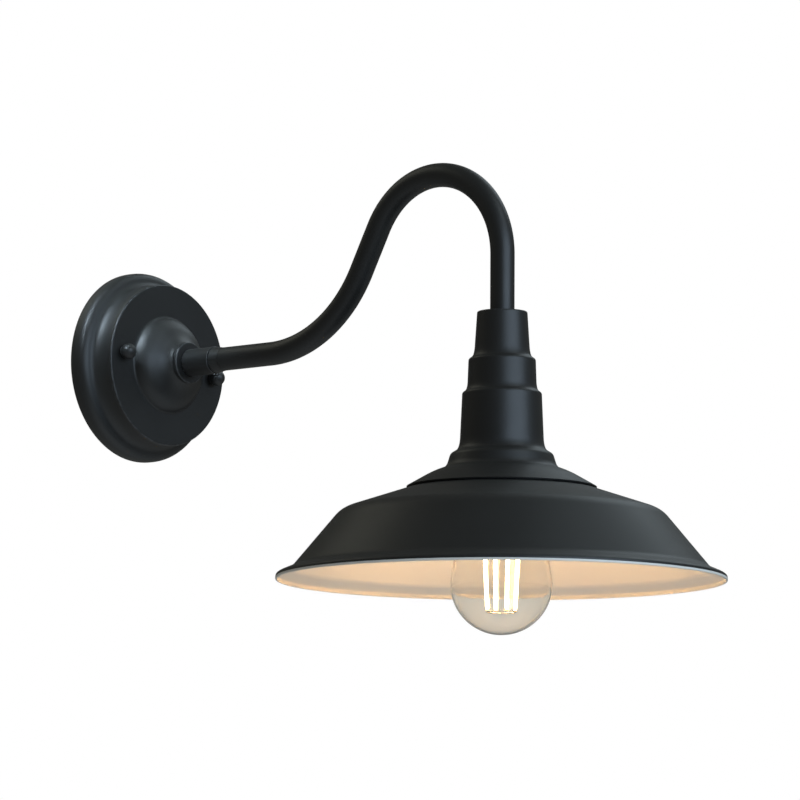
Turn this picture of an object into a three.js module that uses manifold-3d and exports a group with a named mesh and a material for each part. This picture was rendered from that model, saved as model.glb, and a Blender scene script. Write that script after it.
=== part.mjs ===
// Outdoor wall light: a stepped wall plate, a gooseneck arm, a stepped neck and a wide spun steel shade.
// Millimetres, +Z up. The origin is the centre of the wall plate on the wall, and the light stands out to -Y.
import * as THREE from "three";
import { mergeVertices } from "three/addons/utils/BufferGeometryUtils.js";
import Module from "manifold-3d";

const wasm = await Module();
wasm.setup();

// ---------- driving dimensions ----------
const GAP = 0.3; // between pieces that touch
const RUN = 0.4; // round a piece that turns or is screwed in

// M10 hollow thread, its nuts and its washers
const TUBE_R = 5;
const TUBE_BORE = TUBE_R - 1.4;
const NUT_ACROSS = 2 * TUBE_R + 7;
const NUT_T = 5;
const WASHER_R = TUBE_R + 4;
const WASHER_T = 1;

// Arm
const REACH = 298; // wall to the shade's axis
const ARM_WALL = 1.2;
const SPIGOT_WALL = 0.4; // left outside the thread on the plugs in the tube's ends
const SPIGOT_R = TUBE_R + GAP + SPIGOT_WALL;
const SPIGOT_L = 14;
const ARM_R = SPIGOT_R + GAP + ARM_WALL;
const ARM_START = 77.3; // wall to the tube's cut end
const SWEEP_START = 115; // wall to the start of the upward bend
const SWEEP_R = 83;
const CLIMB = THREE.MathUtils.degToRad(61.2); // slope of the straight between the two bends
const CROWN_R = 51.5;
const NECK_TOP = 9.6; // height of the neck's top above the plate's centre

// Wall plate
const BASE_R = 57.8;
const BASE_WALL = 1;
const BASE_FRONT = 26.7; // wall to the front of the stepped shell
const STEP_R = 47.6; // the shell's radius at its front
const SEAL_T = 1.7;
const COVER_R = 49.2;
const COVER_WALL = 1;
const COVER_FACE = 29.3; // wall to the cover's flat face
const BOSS_R = 29.6;
const BOSS_TIP = 45.3; // wall to the boss's flat tip
const BOSS_TIP_R = 11.4;
const STUD_SPREAD = 39; // centre to each stud
const STUD_TURN = THREE.MathUtils.degToRad(-6.4); // tilt of the line through the studs
const STUD_R = 2;
const STRAP_T = 2;
const STRAP_HALF = 46;
const STRAP_W = 22;
const TAB = { half: 6, top: 24, hole: 18 }; // the earth screw's tab
const SLOT = { out: 26, length: 13, width: 5.6 };
const BLOCK = { half: 16, deep: 8, height: 13, pitch: 10, wire: 2 };
const LEAD_OUT = 8.6; // wall to the wire holes of the terminal block
const BALL_R = 4.8;
const BALL_FOOT_R = 3.6;
const BALL_STEM = 1; // from the nut's seat up to the ball
const BALL_CENTRE = COVER_FACE + GAP + BALL_STEM + Math.sqrt(BALL_R ** 2 - BALL_FOOT_R ** 2);

// The turned pieces between the wall plate and the arm
const RING_R = 12.5;
const RING_T = 2.7;
const COUPLING_R = ARM_R + 1.1;
const COUPLING_L = 21.1;
const FERRULE_R = ARM_R + 0.9;

// Lampholder sizes that its neighbours follow
const HOLDER_R = 19.6;
const HOLDER_ROOM = 3.5; // from the lampholder to the outside of the neck round it
const HOLDER_FLANGE_R = HOLDER_R + 3.6;

// Neck
const NECK_WALL = 0.9;
const TIER_1 = { top: 14.6, foot: 16.1, step: 24.1 }; // radii, and how far its foot is below the neck's top
const TIER_2 = { top: 19.6, foot: 20.0, step: 44.1 };
const TIER_3 = { top: HOLDER_R + HOLDER_ROOM, foot: HOLDER_R + HOLDER_ROOM + 1.3, step: 78.7 };
const COLLAR = { top: 30.0, foot: 32.0, step: 90.3, edge: 55.0, drop: 101.8 };

// Shade
const SHADE_WALL = 0.9;
const SHADE_R = 130;
const SHADE_TOP = -88.7;
const CROWN_FLAT_R = 38;
const BREAK_R = 92.7; // where the top cone meets the side cone
const BREAK_Z = -106.2;
const FLARE_R = 120.4;
const FLARE_Z = -139;
const RIM_Z = -146.5;

// Lampholder and bulb
const HOLDER_TOP = -43;
const HOLDER_SPLIT = -55.7;
const HOLDER_FLOOR = -64;
const HOLDER_FLOOR_T = 4;
const HOLDER_END = -98;
const HOLDER_WALL = 2;
const HOLDER_POLE = 9; // the shade's axis to each terminal
const CAP_R = 13.1;
const SHELL_T = 0.5;
const CONTACT_Z = -72; // the tip of the bulb's contact
const CONTACT_TRAVEL = 1;
const CAP_L = 25; // from the bulb's contact to the cap's open end
const BULB_R = 29.4;
const BULB_CENTRE = -148.3;
const GLASS_T = 0.8;
const NECK_GLASS_R = CAP_R + 0.5;
const FILAMENT_TOP = -126.5;
const FILAMENT_END = -163.5;
const FILAMENT_SPREAD = 10.5;
const FILAMENT_FOOT = 8.5;
const FILAMENT_TURNS = [-28, 62, 152, 242].map(THREE.MathUtils.degToRad); // round the bulb's axis
const LEAD_R = 1.1;
const LEAD_SIDE = 1.6; // each lead's distance from the arm's centre line
const LEAD_STEP = 8; // between the sections of a lead

// Flats round each turned piece
const SIDES = { shade: 36, wall: 28, neck: 20, holder: 18, small: 12 };

// ---------- materials ----------
const paint = (color, roughness, metalness) => () =>
  new THREE.MeshStandardMaterial({ color, roughness, metalness });
const blackPaint = paint(0x26292b, 0.5, 0.2);
const zincSteel = paint(0xa9adb0, 0.4, 0.9);
const brass = paint(0xb99449, 0.35, 0.95);
const nickel = paint(0xc3c1ba, 0.3, 0.95);
const rubber = paint(0x1b1b1b, 0.9, 0);
const porcelain = paint(0xe9e6dc, 0.25, 0);
const whitePlastic = paint(0xdedbd2, 0.5, 0);
const blackGlass = paint(0x121214, 0.2, 0);
const brownWire = paint(0x5b3420, 0.6, 0);
const blueWire = paint(0x23468f, 0.6, 0);
const greenWire = paint(0x5d8a2b, 0.6, 0);
const fibre = paint(0x7c2f22, 0.8, 0);
const glassLook = { color: 0xf4efe6, roughness: 0.05, transparent: true, opacity: 0.35 };
const clearGlass = () => new THREE.MeshStandardMaterial(glassLook);
const glow = () => new THREE.MeshStandardMaterial({ color: 0xffd58a, roughness: 0.6, emissive: 0xffb050 });

// ---------- shape helpers ----------
// An outline in radius and height: a pair is a corner, a { bend, to } entry is a curve round a corner,
// and a { centre, radius, from, till } entry is part of a circle.
function outline(entries) {
  const shape = new THREE.Path();
  shape.moveTo(...entries[0]);
  for (const entry of entries.slice(1)) {
    if (Array.isArray(entry)) shape.lineTo(...entry);
    else if (entry.bend) shape.quadraticCurveTo(...entry.bend, ...entry.to);
    else {
      const { centre, radius, from, till, clockwise = false } = entry;
      shape.absarc(...centre, radius, from, till, clockwise);
    }
  }
  return shape;
}

// The skin's points, then the same points moved right of its direction by the wall, as one closed loop.
function walled(skin, wall, divisions = 2) {
  const apart = (point, i, all) => i === 0 || point.distanceTo(all[i - 1]) > 1e-3;
  const points = skin.getPoints(divisions).filter(apart);
  const last = points.length - 1;
  const inner = points.map((point, i) => {
    const [from, to] = [points[Math.max(i - 1, 0)], points[Math.min(i + 1, last)]];
    const before = point.clone().sub(from).normalize();
    const after = to.clone().sub(point).normalize();
    const along = before.clone().add(after).normalize();
    const reach = wall / along.dot(i === 0 ? after : before);
    return new THREE.Vector2(point.x + along.y * reach, point.y - along.x * reach);
  });
  return [...points, ...inner.reverse()];
}

// A closed loop of radius and height turned round the Z axis.
function revolve(points, segments) {
  const loop = points.map((p) => (Array.isArray(p) ? new THREE.Vector2(...p) : p));
  const closed = loop[0].x < 1e-6 && loop.at(-1).x < 1e-6 ? loop : [...loop, loop[0].clone()];
  if (THREE.ShapeUtils.area(loop) < 0) closed.reverse();
  return new THREE.LatheGeometry(closed, segments).rotateX(Math.PI / 2);
}

const tube = (outer, bore, low, high, segments = SIDES.small) =>
  revolve([[bore, low], [outer, low], [outer, high], [bore, high]], segments);
const rod = (radius, low, high, segments = 10) =>
  revolve([[0, low], [radius, low], [radius, high], [0, high]], segments);

function extruded(shape, depth, low = 0, curveSegments = 6) {
  return new THREE.ExtrudeGeometry(shape, { depth, bevelEnabled: false, curveSegments }).translate(0, 0, low);
}

// A hexagonal nut on the Z axis.
function hexNut(across, bore, low, height) {
  const corner = new THREE.Vector2(across / Math.sqrt(3), 0);
  const turns = [0, 1, 2, 3, 4, 5].map((side) => (side * Math.PI) / 3);
  const shape = new THREE.Shape(turns.map((turn) => corner.clone().rotateAround(new THREE.Vector2(), turn)));
  shape.holes.push(new THREE.Path().absarc(0, 0, bore, 0, 2 * Math.PI, true));
  return extruded(shape, height, low);
}

// A circle section, or a ring section when it has a bore, carried along a curve.
function swept(curve, radius, bore, steps, sides) {
  const section = new THREE.Shape().absarc(0, 0, radius, 0, 2 * Math.PI);
  if (bore) section.holes.push(new THREE.Path().absarc(0, 0, bore, 0, 2 * Math.PI, true));
  const options = { steps, extrudePath: curve, bevelEnabled: false, curveSegments: sides };
  return new THREE.ExtrudeGeometry(section, options);
}

// ---------- booleans ----------
function solid(geometry) {
  const bare = geometry.clone();
  bare.deleteAttribute("normal");
  bare.deleteAttribute("uv");
  const merged = mergeVertices(bare, 1e-4);
  const vertProperties = new Float32Array(merged.attributes.position.array);
  const triVerts = new Uint32Array(merged.index.array);
  return new wasm.Manifold(new wasm.Mesh({ numProp: 3, vertProperties, triVerts }));
}

function geometryOf(made) {
  const mesh = made.getMesh();
  const geometry = new THREE.BufferGeometry();
  geometry.setAttribute("position", new THREE.BufferAttribute(new Float32Array(mesh.vertProperties), 3));
  geometry.setIndex([...mesh.triVerts]);
  const flat = geometry.toNonIndexed();
  flat.computeVertexNormals();
  return flat;
}

const cut = (body, ...tools) =>
  geometryOf(tools.reduce((left, tool) => left.subtract(solid(tool)), solid(body)));
const join = (...pieces) => geometryOf(pieces.map(solid).reduce((all, piece) => all.add(piece)));

// ---------- assembly groups ----------
const light = new THREE.Group();
const wallAxis = new THREE.Group(); // local +Z is out of the wall, local +Y is up
wallAxis.rotation.x = Math.PI / 2;
const studLine = new THREE.Group(); // the same, turned so that the studs lie on its X axis
studLine.rotation.z = STUD_TURN;
wallAxis.add(studLine);
const shadeAxis = new THREE.Group(); // local +Z is up the shade's axis
shadeAxis.position.y = -REACH;
light.add(wallAxis, shadeAxis);

function place(group, name, geometry, material) {
  const mesh = new THREE.Mesh(geometry, material());
  mesh.name = name;
  group.add(mesh);
}

// ---------- wall plate ----------
function addWallShells() {
  const lip = BASE_R - 7.4;
  const back = SEAL_T + GAP;
  const base = outline([
    [lip, back],
    [BASE_R - 3.4, back],
    { bend: [BASE_R, back], to: [BASE_R, back + 4.2] },
    [BASE_R, 8],
    { bend: [BASE_R, 13.6], to: [BASE_R - 5.2, 14.6] },
    { bend: [STEP_R + 0.6, 15.6], to: [STEP_R, 21] },
    [STEP_R, BASE_FRONT - 1.6],
    { bend: [STEP_R, BASE_FRONT], to: [STEP_R - 1.6, BASE_FRONT] },
    [STEP_R - 5, BASE_FRONT],
  ]);
  place(wallAxis, "wall_base", revolve(walled(base, -BASE_WALL), SIDES.wall), blackPaint);
  place(wallAxis, "wall_seal", tube(lip + 3.4, lip + 0.2, 0, SEAL_T, SIDES.wall), rubber);

  const cover = outline([
    [COVER_R, BASE_FRONT + GAP],
    [COVER_R, COVER_FACE - 1.2],
    { bend: [COVER_R, COVER_FACE], to: [COVER_R - 1.2, COVER_FACE] },
    [BOSS_R + 0.6, COVER_FACE],
    { bend: [BOSS_R - 0.4, COVER_FACE], to: [BOSS_R - 1, COVER_FACE + 1.2] },
    { bend: [BOSS_R - 3.4, COVER_FACE + 6.6], to: [BOSS_R - 9.6, COVER_FACE + 9.4] },
    { bend: [BOSS_TIP_R + 3, COVER_FACE + 11.8], to: [BOSS_TIP_R + 0.6, BOSS_TIP - 1.4] },
    { bend: [BOSS_TIP_R + 0.2, BOSS_TIP], to: [BOSS_TIP_R - 1.2, BOSS_TIP] },
    [TUBE_R + GAP, BOSS_TIP],
  ]);
  const holes = [-1, 1].map((side) =>
    rod(STUD_R + RUN, COVER_FACE - 5, COVER_FACE + 5)
      .translate(side * STUD_SPREAD, 0, 0)
      .rotateZ(STUD_TURN),
  );
  place(wallAxis, "cover_plate", cut(revolve(walled(cover, -COVER_WALL), SIDES.wall), ...holes), blackPaint);
}

// A flat strap with slots for the wall screws, a solid centre and a tab for the earth screw.
function addBracket() {
  const [half, corner] = [STRAP_W / 2, 3];
  const strap = new THREE.Shape();
  strap.moveTo(-STRAP_HALF, -half + corner);
  strap.quadraticCurveTo(-STRAP_HALF, -half, -STRAP_HALF + corner, -half);
  strap.lineTo(STRAP_HALF - corner, -half);
  strap.quadraticCurveTo(STRAP_HALF, -half, STRAP_HALF, -half + corner);
  strap.lineTo(STRAP_HALF, half - corner);
  strap.quadraticCurveTo(STRAP_HALF, half, STRAP_HALF - corner, half);
  strap.lineTo(TAB.half, half);
  strap.lineTo(TAB.half, TAB.top);
  strap.lineTo(-TAB.half, TAB.top);
  strap.lineTo(-TAB.half, half);
  strap.lineTo(-STRAP_HALF + corner, half);
  strap.quadraticCurveTo(-STRAP_HALF, half, -STRAP_HALF, half - corner);
  const round = (x, y, radius) => new THREE.Path().absarc(x, y, radius, 0, 2 * Math.PI, true);
  strap.holes.push(round(0, TAB.hole, STUD_R + GAP));
  for (const side of [-1, 1]) {
    strap.holes.push(round(side * STUD_SPREAD, 0, STUD_R + GAP));
    strap.holes.push(slot(side * SLOT.out));
  }
  place(studLine, "mounting_bracket", extruded(strap, STRAP_T), zincSteel);

  const screw = join(rod(STUD_R, 0.2, STRAP_T + 1.2), rod(3.6, STRAP_T + 1.1, STRAP_T + 3.4));
  place(studLine, "earth_screw", screw.translate(0, TAB.hole, 0), brass);
}

// The outline of one wall-screw slot, centred at x.
function slot(x) {
  const run = (SLOT.length - SLOT.width) / 2;
  const path = new THREE.Path();
  path.absarc(x + run, 0, SLOT.width / 2, Math.PI / 2, -Math.PI / 2, true);
  path.absarc(x - run, 0, SLOT.width / 2, -Math.PI / 2, -1.5 * Math.PI, true);
  path.closePath();
  return path;
}

// On each side: a stud through the strap, its locknut, and the ball nut that holds the cover.
function addStuds() {
  const seat = COVER_FACE + GAP;
  const boreEnd = BALL_CENTRE + BALL_R / 2;
  const ball = outline([
    [0, boreEnd],
    [STUD_R + RUN, boreEnd],
    [STUD_R + RUN, seat],
    [BALL_FOOT_R, seat],
    { centre: [0, BALL_CENTRE], radius: BALL_R, from: -Math.acos(BALL_FOOT_R / BALL_R), till: Math.PI / 2 },
  ]);
  for (const [side, word] of [[-1, "left"], [1, "right"]]) {
    const out = (geometry) => geometry.translate(side * STUD_SPREAD, 0, 0);
    place(studLine, `stud_${word}`, out(rod(STUD_R, 0, boreEnd - 0.7)), zincSteel);
    place(studLine, `stud_locknut_${word}`, out(hexNut(7, STUD_R + GAP, STRAP_T + GAP, 3.2)), zincSteel);
    place(studLine, `ball_nut_${word}`, out(revolve(ball.getPoints(4), SIDES.small)), blackPaint);
  }
}

// A three-pole block on the strap, with its wire holes along local Y and its screws facing out of the wall.
function addTerminalBlock() {
  const low = STRAP_T + GAP;
  const high = low + BLOCK.height;
  const body = new THREE.BoxGeometry(2 * BLOCK.half, 2 * BLOCK.deep, BLOCK.height);
  body.translate(0, 0, (low + high) / 2);
  const wells = [-1, 0, 1].flatMap((pole) => [
    rod(BLOCK.wire, -20, 20).rotateX(Math.PI / 2).translate(pole * BLOCK.pitch, 0, LEAD_OUT),
    rod(2.3, high - 3, high + 1).translate(pole * BLOCK.pitch, BLOCK.deep / 2, 0),
    rod(2.3, high - 3, high + 1).translate(pole * BLOCK.pitch, -BLOCK.deep / 2, 0),
  ]);
  place(wallAxis, "terminal_block", cut(body, ...wells), whitePlastic);
  for (const [pole, word] of [[-1, "live"], [0, "earth"], [1, "neutral"]])
    place(
      wallAxis,
      `${word}_terminal_screw`,
      rod(2, high - 2.7, high - 0.6).translate(pole * BLOCK.pitch, BLOCK.deep / 2, 0),
      brass,
    );
}

// ---------- arm ----------
// The arm's centre line, in the plane x = 0: out from the wall, up, over the crown and down to the neck.
function armLine(from = ARM_START, to = NECK_TOP + GAP) {
  const at = (out, up) => new THREE.Vector3(0, -out, up);
  const bend = (out, up, radius, first, last) => {
    const curve = new THREE.Curve();
    curve.getPoint = (t, target = new THREE.Vector3()) => {
      const angle = THREE.MathUtils.lerp(first, last, t);
      return target.set(0, -(out + radius * Math.cos(angle)), up + radius * Math.sin(angle));
    };
    return curve;
  };
  const crownOut = REACH - CROWN_R;
  const climb = new THREE.Vector2(Math.cos(CLIMB), Math.sin(CLIMB));
  const sweepEnd = new THREE.Vector2(SWEEP_START + SWEEP_R * climb.y, SWEEP_R * (1 - climb.x));
  const crownStart = crownOut - CROWN_R * climb.y;
  const run = (crownStart - sweepEnd.x) / climb.x;
  const crownUp = sweepEnd.y + run * climb.y - CROWN_R * climb.x;
  const line = new THREE.CurvePath();
  line.add(new THREE.LineCurve3(at(from, 0), at(SWEEP_START, 0)));
  line.add(bend(SWEEP_START, SWEEP_R, SWEEP_R, -Math.PI / 2, CLIMB - Math.PI / 2));
  line.add(new THREE.LineCurve3(at(sweepEnd.x, sweepEnd.y), at(crownStart, crownUp + CROWN_R * climb.x)));
  line.add(bend(crownOut, crownUp, CROWN_R, CLIMB + Math.PI / 2, 0));
  line.add(new THREE.LineCurve3(at(REACH, crownUp), at(REACH, to)));
  return line;
}

function addArm() {
  place(light, "arm_tube", swept(armLine(), ARM_R, ARM_R - ARM_WALL, 38, 6), blackPaint);

  const ring = BOSS_TIP + GAP;
  place(wallAxis, "boss_ring", tube(RING_R, TUBE_R + GAP, ring, ring + RING_T, SIDES.holder), blackPaint);
  const coupling = ring + RING_T + GAP;
  const end = coupling + COUPLING_L;
  place(wallAxis, "arm_coupling", tube(COUPLING_R, TUBE_R + GAP, coupling, end, SIDES.small), blackPaint);

  const foot = end + GAP;
  const shoulder = ARM_START - GAP;
  const threadEnd = shoulder + SPIGOT_L / 2;
  const fitting = outline([
    [TUBE_R + GAP, foot],
    [FERRULE_R - 0.6, foot],
    { bend: [FERRULE_R, foot], to: [FERRULE_R, foot + 0.8] },
    [ARM_R + 0.4, shoulder - 0.4],
    [ARM_R, shoulder],
    [SPIGOT_R, shoulder],
    [SPIGOT_R, shoulder + SPIGOT_L],
    [TUBE_BORE + 0.4, shoulder + SPIGOT_L],
    [TUBE_BORE + 0.4, threadEnd],
    [TUBE_R + GAP, threadEnd],
  ]);
  place(wallAxis, "arm_ferrule", revolve(fitting.getPoints(2), SIDES.small), blackPaint);

  const washer = BOSS_TIP - COVER_WALL - GAP - WASHER_T;
  const nut = washer - GAP - NUT_T;
  place(wallAxis, "cover_lock_washer", tube(WASHER_R, TUBE_R + GAP, washer, washer + WASHER_T), zincSteel);
  place(wallAxis, "cover_locknut", hexNut(NUT_ACROSS, TUBE_R + GAP, nut, NUT_T), brass);
  place(wallAxis, "wall_nipple", tube(TUBE_R, TUBE_BORE, nut - 1.5, threadEnd - GAP), zincSteel);
}

// ---------- neck and the parts that hang it from the arm ----------
function addNeck() {
  const z = (below) => NECK_TOP - below;
  const flare = (above, below) => [
    { bend: [above.foot + 0.5, z(above.step + 3.6)], to: [below.top - 1.2, z(above.step + 4.5)] },
    { bend: [below.top, z(above.step + 4.9)], to: [below.top + 0.02, z(above.step + 6.4)] },
  ];
  const skin = outline([
    [TUBE_R + GAP, NECK_TOP],
    [TIER_1.top - 1.1, NECK_TOP],
    { bend: [TIER_1.top, NECK_TOP], to: [TIER_1.top + 0.1, z(1.2)] },
    [TIER_1.foot, z(TIER_1.step - 1.2)],
    ...flare({ ...TIER_1, step: TIER_1.step - 1.2 }, TIER_2),
    [TIER_2.foot, z(TIER_2.step - 0.8)],
    ...flare({ ...TIER_2, step: TIER_2.step - 0.8 }, TIER_3),
    [TIER_3.foot, z(TIER_3.step - 0.8)],
    ...flare({ ...TIER_3, step: TIER_3.step - 0.8 }, COLLAR),
    [COLLAR.foot, z(COLLAR.step - 1)],
    { bend: [COLLAR.foot + 0.9, z(COLLAR.step + 1.2)], to: [COLLAR.foot + 4.3, z(COLLAR.step + 1.8)] },
    { bend: [COLLAR.foot + 15.5, z(COLLAR.step + 5.6)], to: [COLLAR.edge, z(COLLAR.drop)] },
  ]);
  place(shadeAxis, "neck", revolve(walled(skin, NECK_WALL), SIDES.neck), blackPaint);

  const washer = NECK_TOP - NECK_WALL - GAP - WASHER_T;
  const nut = washer - GAP - NUT_T;
  place(shadeAxis, "neck_lock_washer", tube(WASHER_R, TUBE_R + GAP, washer, washer + WASHER_T), zincSteel);
  place(shadeAxis, "neck_locknut", hexNut(NUT_ACROSS, TUBE_R + GAP, nut, NUT_T), zincSteel);

  const low = NECK_TOP + 2 * GAP;
  const threadEnd = low + SPIGOT_L;
  const fitting = [
    [TUBE_R + GAP, low],
    [SPIGOT_R, low],
    [SPIGOT_R, threadEnd + 4],
    [TUBE_BORE + 0.4, threadEnd + 4],
    [TUBE_BORE + 0.4, threadEnd],
    [TUBE_R + GAP, threadEnd],
  ];
  place(shadeAxis, "arm_end_bush", revolve(fitting, SIDES.small), zincSteel);
  place(shadeAxis, "lamp_nipple", tube(TUBE_R, TUBE_BORE, HOLDER_TOP - 4, threadEnd - GAP), zincSteel);
}

// ---------- shade ----------
function addShade() {
  const skin = outline([
    [HOLDER_R + 1, SHADE_TOP],
    [CROWN_FLAT_R, SHADE_TOP],
    { bend: [CROWN_FLAT_R + 1.6, SHADE_TOP], to: [CROWN_FLAT_R + 3.4, SHADE_TOP - 0.7] },
    [BREAK_R - 3, BREAK_Z + 0.95],
    { bend: [BREAK_R, BREAK_Z], to: [BREAK_R + 1.9, BREAK_Z - 2.3] },
    [FLARE_R, FLARE_Z],
    { bend: [FLARE_R + 0.8, FLARE_Z - 1], to: [FLARE_R + 2.4, FLARE_Z - 1.6] },
    [SHADE_R - 1.4, FLARE_Z - 4.1],
    { bend: [SHADE_R, FLARE_Z - 4.6], to: [SHADE_R, FLARE_Z - 5.8] },
    [SHADE_R, RIM_Z],
  ]);
  place(shadeAxis, "shade", revolve(walled(skin, SHADE_WALL), SIDES.shade), blackPaint);

  const under = SHADE_TOP - SHADE_WALL - GAP;
  const inner = HOLDER_R + RUN;
  place(shadeAxis, "shade_washer", tube(HOLDER_R + 7, inner, under - 0.8, under, SIDES.holder), fibre);
  const top = under - 0.8 - GAP;
  const ring = [
    [inner, top],
    [HOLDER_R + 7, top],
    [HOLDER_R + 7, top - 1.6],
    [HOLDER_R + 2.4, top - 2.6],
    [HOLDER_R + 2.4, top - 6],
    [inner, top - 6],
  ];
  place(shadeAxis, "shade_ring", revolve(ring, SIDES.holder), porcelain);
}

// ---------- lampholder ----------
function addLampholder() {
  const cap = outline([
    [TUBE_R + GAP, HOLDER_TOP],
    [HOLDER_R - 4, HOLDER_TOP],
    { bend: [HOLDER_R, HOLDER_TOP], to: [HOLDER_R, HOLDER_TOP - 4] },
    [HOLDER_R, HOLDER_SPLIT],
  ]);
  place(shadeAxis, "lampholder_cap", revolve(walled(cap, HOLDER_WALL), SIDES.holder), porcelain);
  place(shadeAxis, "holder_locknut", hexNut(NUT_ACROSS, TUBE_R + GAP, HOLDER_TOP + GAP, NUT_T), brass);

  const shell = CAP_R + RUN + SHELL_T;
  const bore = shell + GAP;
  const flangeTop = SHADE_TOP + GAP + 3.2;
  const ceiling = HOLDER_FLOOR - HOLDER_FLOOR_T;
  const body = [
    [0, HOLDER_FLOOR],
    [HOLDER_R - HOLDER_WALL, HOLDER_FLOOR],
    [HOLDER_R - HOLDER_WALL, HOLDER_SPLIT - GAP],
    [HOLDER_R, HOLDER_SPLIT - GAP],
    [HOLDER_R, flangeTop],
    [HOLDER_FLANGE_R, flangeTop],
    [HOLDER_FLANGE_R, SHADE_TOP + GAP],
    [HOLDER_R, SHADE_TOP + GAP],
    [HOLDER_R, HOLDER_END],
    [bore, HOLDER_END],
    [bore, ceiling],
    [0, ceiling],
  ];
  place(shadeAxis, "lampholder_body", revolve(body, SIDES.holder), porcelain);

  const top = ceiling - GAP;
  const screwShell = [
    [shell, HOLDER_END + 2],
    [shell, top],
    [shell / 2, top],
    [shell / 2, top - SHELL_T],
    [shell - SHELL_T, top - SHELL_T],
    [shell - SHELL_T, HOLDER_END + 2],
  ];
  place(shadeAxis, "screw_shell", revolve(screwShell, SIDES.holder), brass);

  const tongue = CONTACT_Z + GAP;
  place(shadeAxis, "centre_contact", rod(4, tongue, tongue + 0.8), brass);
  for (const [side, word] of [[-1, "live"], [1, "neutral"]]) {
    const post = new THREE.BoxGeometry(5, 5, 4).translate(side * HOLDER_POLE, 0, HOLDER_FLOOR + GAP + 2);
    place(shadeAxis, `${word}_holder_terminal`, post, brass);
  }
}

// ---------- bulb ----------
function addBulb() {
  const open = CONTACT_Z - CAP_L;
  const shoulder = CONTACT_Z - 4;
  const cap = outline([
    [CAP_R, open],
    [CAP_R, shoulder - 1.6],
    { bend: [CAP_R, shoulder], to: [CAP_R - 1.8, shoulder] },
    [CAP_R - 3.8, shoulder],
  ]);
  place(shadeAxis, "bulb_cap", revolve(walled(cap, -SHELL_T), SIDES.holder), nickel);
  const insulator = [
    [0, shoulder - SHELL_T],
    [CAP_R - 4.2, shoulder - SHELL_T],
    [CAP_R - 4.2, shoulder + 0.3],
    [5, CONTACT_Z - 1],
    [0, CONTACT_Z - 1],
  ];
  place(shadeAxis, "bulb_insulator", revolve(insulator, SIDES.small), blackGlass);
  place(shadeAxis, "bulb_contact", rod(4.4, CONTACT_Z - 1 + GAP, CONTACT_Z), nickel);

  const glass = outline([
    [NECK_GLASS_R, open - GAP],
    [NECK_GLASS_R + 0.6, open - 4],
    { bend: [NECK_GLASS_R + 2, open - 14], to: [NECK_GLASS_R + 8, open - 26] },
    { bend: [BULB_R - 1.4, open - 38], to: [BULB_R, BULB_CENTRE] },
    { centre: [0, BULB_CENTRE], radius: BULB_R, from: 0, till: -Math.PI / 2 + 0.001, clockwise: true },
  ]);
  const outer = glass.getPoints(4);
  outer.at(-1).x = 0;
  const wall = walled(outline(outer.map((p) => [p.x, p.y])), GLASS_T, 1);
  wall[outer.length].x = 0;
  place(shadeAxis, "bulb_glass", revolve(wall.map((p) => [Math.max(p.x, 0), p.y]), SIDES.neck), clearGlass);

  const stem = outline([
    [0, open],
    [NECK_GLASS_R - GLASS_T - 1.3, open],
    [NECK_GLASS_R - GLASS_T - 1.3, open - 1.2],
    { bend: [4, open - 3], to: [3, open - 10] },
    [2.4, FILAMENT_TOP + 6],
    [3.4, FILAMENT_TOP + 4],
    [3.4, FILAMENT_TOP + 2.4],
    [0, FILAMENT_TOP + 1.6],
  ]);
  place(shadeAxis, "bulb_stem", revolve(stem.getPoints(3), 10), clearGlass);
}

// Four straight filaments that lean in towards the bulb's end, and the wires that carry them.
function addFilaments() {
  const wire = 0.5;
  const at = (turn, radius, z) => new THREE.Vector3(radius * Math.cos(turn), radius * Math.sin(turn), z);
  const bar = (from, to, radius, sides) => swept(new THREE.LineCurve3(from, to), radius, 0, 1, sides);
  const hub = FILAMENT_TOP + 3;
  const tip = FILAMENT_TOP + 1;
  const arms = FILAMENT_TURNS.map((turn) => bar(at(turn, 4, hub), at(turn, FILAMENT_SPREAD, tip), wire, 3));
  place(shadeAxis, "filament_support", join(tube(4.6, 3.7, hub - 0.6, hub + 0.6), ...arms), nickel);
  FILAMENT_TURNS.forEach((turn, i) => {
    const from = at(turn, FILAMENT_SPREAD, FILAMENT_TOP);
    const to = at(turn, FILAMENT_FOOT, FILAMENT_END);
    place(shadeAxis, `filament_${i + 1}`, bar(from, to, 1.1, 4), glow);
  });
  const foot = FILAMENT_END - 1.4;
  const footRing = tube(FILAMENT_FOOT + 0.5, FILAMENT_FOOT - 0.5, foot, foot + 0.9);
  place(shadeAxis, "filament_foot_ring", footRing, nickel);
}

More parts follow.
